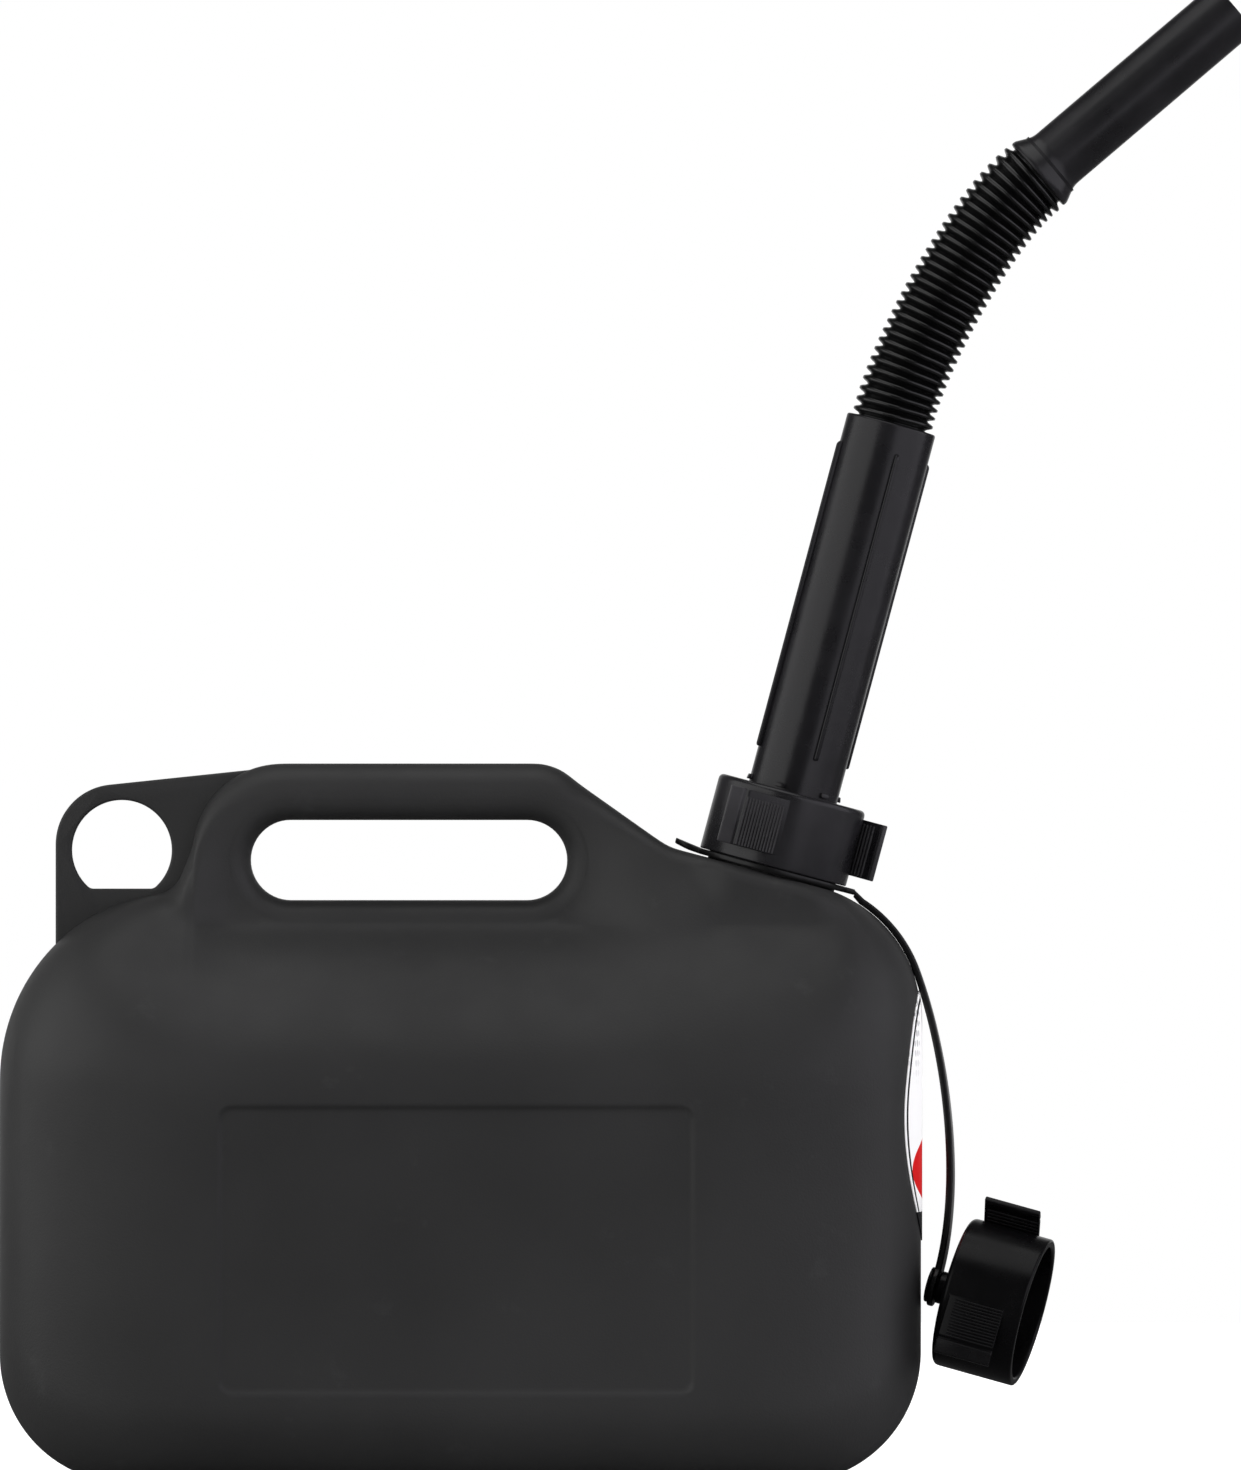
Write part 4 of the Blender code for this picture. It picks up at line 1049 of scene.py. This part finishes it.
# unite the wings with their carrier, and lay the ribs on them
def addWings(target, top, material, ribHighlightMaterial):
    f = wingForm
    turns = [f["firstTip"] + k * f["pitch"] for k in range(f["count"])]
    for turn in turns:
        solve(target, makeWing(turn, top), "UNION")
    finish(target, material, f["sharpAngle"])
    # faces out towards the wing tips, and the ribs, take the paler copy: a painted highlight where they
    # catch the light
    target.data.materials.append(ribHighlightMaterial)
    for face in target.data.polygons:
        face.material_index = int(face.center.xy.length > f["highlightFrom"])
    grips = []
    for turn in turns:
        for path, form in zip(wingPaths(turn), (gripForm, innerGripForm)):
            grips.append(finish(makeGrip(path, form, top, ribHighlightMaterial), ribHighlightMaterial, f["ribAngle"]))
    return merge(target.name, [target] + grips)


collarForm = dict(radius=0.0254, top=0.0287, foot=0.0027, bore=0.0226, web=0.0024, tubeHole=0.0159,
                  rim=0.0020, holeRound=0.0005, footRound=0.0006, sides=128)


def makeCollar():
    f = collarForm
    inside = f["top"] - f["web"]
    profile = [(f["tubeHole"], f["top"]), (f["radius"], f["top"]), (f["radius"], f["foot"]),
               (f["bore"], f["foot"]), (f["bore"], inside), (f["tubeHole"], inside)]
    profile = roundCorners(profile, (f["holeRound"], f["rim"], f["footRound"], f["footRound"], 0, 0), 8)
    ring = revolve("spoutRing", profile, f["sides"])
    return place(addWings(ring, f["top"], collarMaterial, collarRibHighlightMaterial), neckPlace)


standIn(makeCollar(), "spout_collar", "collar")

capForm = dict(radius=0.0255, height=0.028, top=0.0024, bore=0.0226, rim=0.0020, lip=0.0009,
               innerRound=0.0008, bossRadius=0.0055, bossLength=0.0052, bossRound=0.0008,
               studRadius=0.0040, studLength=0.0088, headRadius=0.0060, headThickness=0.0010,
               headRound=0.0004, headFoot=0.0003, threadTurns=2.2, threadRise=0.0095, threadLow=-0.0220,
               threadRidge=0.0009, threadAngle=60, sides=128)


def makeCap():
    f = capForm
    head = f["studLength"] - f["headThickness"]
    # radius, height and rounding of each corner, from the stud's head round to the inside
    corners = [(0.0, f["studLength"], 0), (f["headRadius"], f["studLength"], f["headRound"]),
               (f["headRadius"], head, f["headFoot"]), (f["studRadius"], head, 0),
               (f["studRadius"], f["bossLength"], 0), (f["bossRadius"], f["bossLength"], f["bossRound"]),
               (f["bossRadius"], 0.0, f["bossRound"]), (f["radius"], 0.0, f["rim"]),
               (f["radius"], -f["height"], f["lip"]), (f["bore"], -f["height"], f["lip"]),
               (f["bore"], -f["top"], f["innerRound"]), (0.0, -f["top"], 0)]
    profile = [corner[:2] for corner in corners]
    radii = [corner[2] for corner in corners]
    cap = revolve("neckCap", roundCorners(profile, radii, 6, closed=False), f["sides"])
    cap = addWings(cap, 0.0, capMaterial, capRibHighlightMaterial)
    thread = grow(meshFrom("capThread", [(0, 0, 0)]), threadTree, {
        "Turns": f["threadTurns"], "Radius": f["bore"], "Rise": f["threadRise"],
        "Ridge": f["threadRidge"], "Material": capMaterial})
    place(thread, Matrix.Translation((0.0, 0.0, f["threadLow"])))
    return place(merge("neckCap", [cap, finish(thread, capMaterial, f["threadAngle"])]), capPlace)


standIn(makeCap(), "screw_cap", "cap")

# spout tube
tubeForm = dict(radius=0.0153, bore=0.0133, foot=0.0240, flange=0.0218, flangeThickness=0.0020, top=0.1571,
                rim=0.0009, flangeFoot=0.0006, flangeRound=0.0003, sides=128, sharpAngle=32, sink=0.0008,
                finCount=4, finAngle=radians(-73.6), finWidth=0.0015, finHeight=0.0015, finLow=0.0407,
                finHigh=0.1466, finLean=(0.0004, 0.0012), finRound=0.0030, finEdge=0.00045,
                snapCount=6, snapAngle=radians(-107.6), snapWidth=0.0034, snapLength=0.0018,
                snapHeight=0.0012, snapTaper=0.7, snapLow=0.0293, snapEdge=0.0003, smallAngle=40)


# a flat piece with the given outline, standing out from the tube and repeated round it
def spacedOnTube(name, outline, width, edge, segments, angle, count, firstAngle):
    piece = extruded(name, [(x, z) for x, z in outline], -width / 2, width / 2)
    place(bevelEdges(piece, edge, segments, angle), Matrix.Rotation(pi / 2, 4, "X"))
    piece = grow(piece, ringTree, {"Count": count, "First angle": firstAngle, "Pitch": 2 * pi / count,
                                   "Material": tubeMaterial})
    return finish(piece, tubeMaterial, tubeForm["smallAngle"])


def makeTube():
    f = tubeForm
    shoulder = f["foot"] + f["flangeThickness"]
    profile = [(f["radius"], f["top"]), (f["radius"], shoulder), (f["flange"], shoulder),
               (f["flange"], f["foot"]), (f["bore"], f["foot"]), (f["bore"], f["top"])]
    radii = (f["rim"], f["flangeFoot"], f["flangeRound"], f["flangeRound"], 0, f["rim"])
    tube = finish(revolve("spoutTube", roundCorners(profile, radii, 6), f["sides"]),
                  tubeMaterial, f["sharpAngle"])
    root, tip = f["radius"] - f["sink"], f["radius"] + f["finHeight"]
    fin = [(root, f["finLow"] + f["finLean"][0]), (tip, f["finLow"]), (tip, f["finHigh"]),
           (root, f["finHigh"] + f["finLean"][1])]
    fin = roundCorners(fin, (0, f["finRound"], f["finRound"], 0), 6)
    fins = spacedOnTube("tubeFin", fin, f["finWidth"], f["finEdge"], 3, 50, f["finCount"], f["finAngle"])
    low, high = f["snapLow"], f["snapLow"] + f["snapLength"]
    snap = [(root, low), (f["radius"] + f["snapHeight"], low),
            (f["radius"] + f["snapHeight"] * f["snapTaper"], high), (root, high)]
    snaps = spacedOnTube("snapBump", snap, f["snapWidth"], f["snapEdge"], 2, 40, f["snapCount"],
                         f["snapAngle"])
    return place(merge("spoutTube", [tube, fins, snaps]), neckPlace)


standIn(makeTube(), "spout_tube", "spout")

# bellows hose
hoseForm = dict(crest=0.0138, root=0.0115, bore=0.0100, pitch=0.00323, cuff=0.0140, cuffRadius=0.0130,
                lowerStraight=0.0040, upperStraight=0.0040, setback=0.0453, socket=0.0060, bendShare=0.48,
                crestSlope=2.5, ribPoints=8, sides=72, gap=0.0003, endRun=0.00002, routeSteps=200,
                blendShare=0.3, sharpAngle=80)


def hoseRoute():
    f = hoseForm
    bend = Vector((0.0, 0.0, bendHeight))
    out = Vector((sin(bendTurn), 0.0, cos(bendTurn)))
    start = Vector((0.0, 0.0, tubeForm["top"] - f["cuff"]))
    leave = Vector((0.0, 0.0, tubeForm["top"] + f["lowerStraight"]))
    arrive = bend + out * (f["setback"] - f["upperStraight"])
    end = bend + out * (f["setback"] + f["socket"] - f["gap"])
    controls = (leave, leave.lerp(bend, f["bendShare"]), arrive.lerp(bend, f["bendShare"]), arrive)
    steps = f["routeSteps"]
    return [start] + [bezier(controls, step / steps) for step in range(steps + 1)] + [end]


def makeHose():
    f = hoseForm
    route = hoseRoute()
    distance = np.concatenate([[0.0], np.cumsum([(b - a).length for a, b in zip(route, route[1:])])])
    length = float(distance[-1])
    ribStart, ribEnd = f["cuff"] + 2 * f["gap"], length - f["socket"] - 2 * f["gap"]
    ribCount = round((ribEnd - ribStart) / f["pitch"])
    # place, rib phase and cuff radius of each point of the centre line
    stops = [(0.0, -1.0, f["bore"]), (f["endRun"], -1.0, f["cuffRadius"]),
             (f["cuff"], -1.0, f["cuffRadius"]), (f["cuff"] + f["gap"], -1.0, f["root"])]
    for k in range(ribCount * f["ribPoints"] + 1):
        share = k / (ribCount * f["ribPoints"])
        stops.append((ribStart + (ribEnd - ribStart) * share, k / f["ribPoints"], f["root"]))
    stops += [(ribEnd + f["gap"], -1.0, f["root"]), (length - f["endRun"], -1.0, f["root"]),
              (length, -1.0, f["bore"])]
    points = [[np.interp(stop[0], distance, [p[axis] for p in route]) for axis in range(3)]
              for stop in stops]
    hose = meshFrom("bellowsHose", points, (), [(k, k + 1) for k in range(len(points) - 1)])
    for name, column in (("ribPhase", 1), ("cuffRadius", 2)):
        layer = hose.data.attributes.new(name, "FLOAT", "POINT")
        layer.data.foreach_set("value", [stop[column] for stop in stops])
    grow(hose, bellowsTree, {"Crest radius": f["crest"], "Root radius": f["root"], "Bore radius": f["bore"],
                             "Crest slope": f["crestSlope"], "Sides": f["sides"],
                             "Material": hoseMaterial})
    print("bellows hose:", ribCount, "ribs")
    return place(finish(outward(hose), hoseMaterial, f["sharpAngle"]), neckPlace)


bellowsHose = makeHose()
standIn(bellowsHose, "flex_hose", None)
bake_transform(bellowsHose)

# nozzle
nozzleForm = dict(radius=0.01075, wall=0.0015, length=0.0868, flare=0.0135, flareLength=0.0070,
                  flareStart=0.22, flareTop=0.0020, flareEdge=0.0010, rimEdge=0.0007, socketEdge=0.0005,
                  lip=0.0005, sides=112, sharpAngle=40)


def makeNozzle():
    f = nozzleForm
    low = hoseForm["setback"]
    high, bore = low + f["length"], f["radius"] - f["wall"]
    socket = hoseForm["root"] + hoseForm["gap"]
    floor = low + hoseForm["socket"]
    profile = [(f["radius"], high), (f["radius"], low + f["flareLength"]),
               (f["flare"], low + f["flareLength"] * f["flareStart"]), (f["flare"], low),
               (socket, low), (socket, floor), (bore, floor), (bore, high)]
    radii = (f["lip"], f["flareTop"], f["flareEdge"], f["rimEdge"], f["socketEdge"], 0, 0, f["lip"])
    nozzle = revolve("pourNozzle", roundCorners(profile, radii, 6), f["sides"])
    return finish(place(nozzle, bendPlace), nozzleMaterial, f["sharpAngle"])


standIn(makeNozzle(), "spout_nozzle", "nozzle")

# strap from the neck ring down to the cap
strapForm = dict(thickness=0.0023, width=0.008, edge=0.0007, rootHeight=0.0022, hugStart=radians(57.0),
                 hugEnd=radians(20.0), lift=0.0012, bowTop=0.032, bowFoot=0.030, eyeRadius=0.007,
                 eyeHole=0.0046, eyeLow=0.0055, eyeThickness=0.0020, eyeRound=0.0006, overrun=0.003,
                 hugSteps=24, bowSteps=56, eyeSides=72, sharpAngle=35, blendRun=0.014,
                 blendTurn=radians(35.0))
strapRoot = neckPlace @ Vector((ringForm["stubReach"], 0.0, strapForm["rootHeight"]))


def strapRoute():
    f = strapForm
    points = [strapRoot + Vector((-sin(neckTilt), 0.0, -cos(neckTilt))) * f["thickness"] / 2]
    centre = (canForm["halfLength"] - shoulderRadius, shoulderHeight)
    hug = arc(centre, shoulderRadius + f["lift"], f["hugStart"], f["hugEnd"], f["hugSteps"])
    points += [Vector((x, 0.0, z)) for x, z in hug]
    down = Vector((sin(f["hugEnd"]), 0.0, -cos(f["hugEnd"])))
    eye = capFace + capOut * (f["eyeLow"] + f["eyeThickness"] / 2)
    arrive = eye + capUp * f["eyeHole"]
    controls = (points[-1], points[-1] + down * f["bowTop"], arrive + capUp * f["bowFoot"], arrive)
    steps = f["bowSteps"]
    return points + [bezier(controls, step / steps) for step in range(1, steps + 1)]


def makeStrap():
    f = strapForm
    points = strapRoute()
    halfThick, halfWide = f["thickness"] / 2, f["width"] / 2
    section = [(halfWide, halfThick), (-halfWide, halfThick), (-halfWide, -halfThick),
               (halfWide, -halfThick)]
    section = roundCorners(section, [f["edge"]] * 4, 4)
    rings = []
    for k, point in enumerate(points):
        ahead = (points[min(len(points) - 1, k + 1)] - points[max(0, k - 1)]).normalized()
        if k == 0:
            ahead = Vector((cos(neckTilt), 0.0, -sin(neckTilt)))
        across = Vector((0.0, 1.0, 0.0)).lerp(capSide, k / (len(points) - 1))
        across = (across - ahead * across.dot(ahead)).normalized()
        face = ahead.cross(across)
        rings.append([point + across * wide + face * thick for wide, thick in section])
    strap = loft("tetherStrap", rings)
    low, high = f["eyeLow"], f["eyeLow"] + f["eyeThickness"]
    disc = [(0.0, high), (f["eyeRadius"], high), (f["eyeRadius"], low), (0.0, low)]
    disc = roundCorners(disc, (0, f["eyeRound"], f["eyeRound"], 0), 4, closed=False)
    solve(strap, place(revolve("strapEye", disc, f["eyeSides"]), capPlace), "UNION")
    above, below = high + f["overrun"], low - f["overrun"]
    hole = [(0.0, above), (f["eyeHole"], above), (f["eyeHole"], below), (0.0, below)]
    solve(strap, place(revolve("strapEyeHole", hole, f["eyeSides"]), capPlace), "DIFFERENCE")
    return finish(strap, strapMaterial, f["sharpAngle"])


tetherStrap = makeStrap()
standIn(tetherStrap, "tether_strap", None)
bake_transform(tetherStrap)

# the two seals keep the meshes of the solids
for node, material in (("spout_gasket", rubberMaterial), ("cap_liner", foamMaterial)):
    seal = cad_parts[node]
    seal.data.materials.clear()
    seal.data.materials.append(material)
print("seals finished")

# studio
studio = dict(centre=(0.0539, 0.2501), pictureHeight=0.4948, distance=6.0, clipEnd=100.0,
              lampTarget=(0.03, 0.0, 0.22), ambient=0.19, frontDark=0.05, backGlow=0.70, whiteFrom=0.80,
              floorReach=1.6, floorSides=64, floorGrey=0.60, floorMirrored=0.05, floorGlow=0.85,
              floorGlossy=0.04, floorRough=(0.80, 0.90), floorSpecular=0.2, floorCloud=3.0)
# place, size, power and colour of each lamp, and whether glossy faces mirror it
lamps = dict(
    leftSoftbox=((-1.66, -0.70, 0.75), (3.4, 2.0), 19.0, (1.0, 1.0, 1.0), True),
    rightSoftbox=((1.59, -0.84, 0.65), (3.4, 1.9), 16.0, (0.94, 0.92, 1.0), True),
    topSoftbox=((0.0, -0.20, 1.90), (1.6, 1.6), 8.0, (1.0, 1.0, 1.0), True),
    leftRim=((-1.60, 0.70, 0.45), (1.2, 1.5), 24.0, (1.0, 1.0, 1.0), False),
    rightRim=((1.65, 0.60, 0.45), (1.0, 1.5), 28.0, (0.98, 0.97, 1.0), False),
    frontFill=((-0.30, -2.60, 0.60), (1.2, 1.2), 14.0, (1.0, 1.0, 1.0), False),
)


def makeCamera():
    lens = bpy.data.cameras.new("photoCamera")
    lens.lens = lens.sensor_width * studio["distance"] / studio["pictureHeight"]
    lens.clip_end = studio["clipEnd"]
    camera = bpy.data.objects.new("photoCamera", lens)
    camera.location = (studio["centre"][0], -studio["distance"], studio["centre"][1])
    camera.rotation_euler = (pi / 2, 0.0, 0.0)
    bpy.context.scene.collection.objects.link(camera)
    bpy.context.scene.camera = camera


def makeSoftbox(name, location, size, power, colour, glossy):
    light = bpy.data.lights.new(name, "AREA")
    light.shape = "RECTANGLE"
    light.size, light.size_y = size
    light.energy = power
    light.color = colour
    lamp = bpy.data.objects.new(name, light)
    lamp.location = location
    towards = Vector(studio["lampTarget"]) - Vector(location)
    lamp.rotation_euler = towards.to_track_quat("-Z", "Y").to_euler()
    lamp.visible_camera = False
    lamp.visible_glossy = glossy
    bpy.context.scene.collection.objects.link(lamp)


# 1 for rays from the camera, less for glossy and transmitted ones, 0 for rays that carry light
def seenWhite(tree, glossy):
    path = addNode(tree, "ShaderNodeLightPath").outputs
    shown = maths(tree, "MAXIMUM", path["Is Glossy Ray"], path["Is Transmission Ray"])
    return maths(tree, "MAXIMUM", path["Is Camera Ray"], maths(tree, "MULTIPLY", shown, glossy))


# white surroundings; what glossy faces see falls off towards the dark room in front
def makeWorld():
    world = bpy.data.worlds.new("whiteStudio")
    bpy.context.scene.world = world
    world.use_nodes = True
    tree = world.node_tree
    background = tree.nodes["Background"]
    direction = addNode(tree, "ShaderNodeTexCoord").outputs["Generated"]
    ahead = addNode(tree, "ShaderNodeSeparateXYZ", {"Vector": direction}).outputs["Y"]
    white = remap(tree, ahead, studio["whiteFrom"], 1.0, studio["frontDark"], studio["backGlow"],
                  "SMOOTHSTEP")
    camera = addNode(tree, "ShaderNodeLightPath").outputs["Is Camera Ray"]
    shown = maths(tree, "MAXIMUM", white, camera)
    fill = maths(tree, "SUBTRACT", shown, studio["ambient"])
    strength = maths(tree, "ADD", maths(tree, "MULTIPLY", fill, seenWhite(tree, 1.0)), studio["ambient"])
    tree.links.new(strength, background.inputs["Strength"])
    background.inputs["Color"].default_value = (1.0, 1.0, 1.0, 1.0)


def makeFloor():
    reach, count = studio["floorReach"], studio["floorSides"]
    rim = [(x, y, 0.0) for x, y in arc((0.0, 0.0), reach, 0.0, 2 * pi, count)[:count]]
    floor = meshFrom("studioFloor", rim, [tuple(range(count))])
    roughness = sum(studio["floorRough"]) / 2
    material, tree, shader, coords = newMaterial("paleFloor", roughness, studio["floorSpecular"])
    glossy = addNode(tree, "ShaderNodeLightPath").outputs["Is Glossy Ray"]
    seen, mirrored = (studio["floorGrey"],) * 3, (studio["floorMirrored"],) * 3
    tree.links.new(blendColour(tree, glossy, seen, mirrored), shader.inputs["Base Color"])
    cloud = noise(tree, coords, studio["floorCloud"])
    tree.links.new(remap(tree, cloud, *noiseRange, *studio["floorRough"]), shader.inputs["Roughness"])
    shader.inputs["Emission Color"].default_value = (1.0, 1.0, 1.0, 1.0)
    glow = maths(tree, "MULTIPLY", seenWhite(tree, studio["floorGlossy"]), studio["floorGlow"])
    tree.links.new(glow, shader.inputs["Emission Strength"])
    floor.data.materials.append(material)


makeCamera()
makeFloor()
makeWorld()
for lampName, lampForm in lamps.items():
    makeSoftbox(lampName, *lampForm)
bpy.context.scene.view_settings.view_transform = "Standard"
print("studio ready:", len(lamps), "lamps")
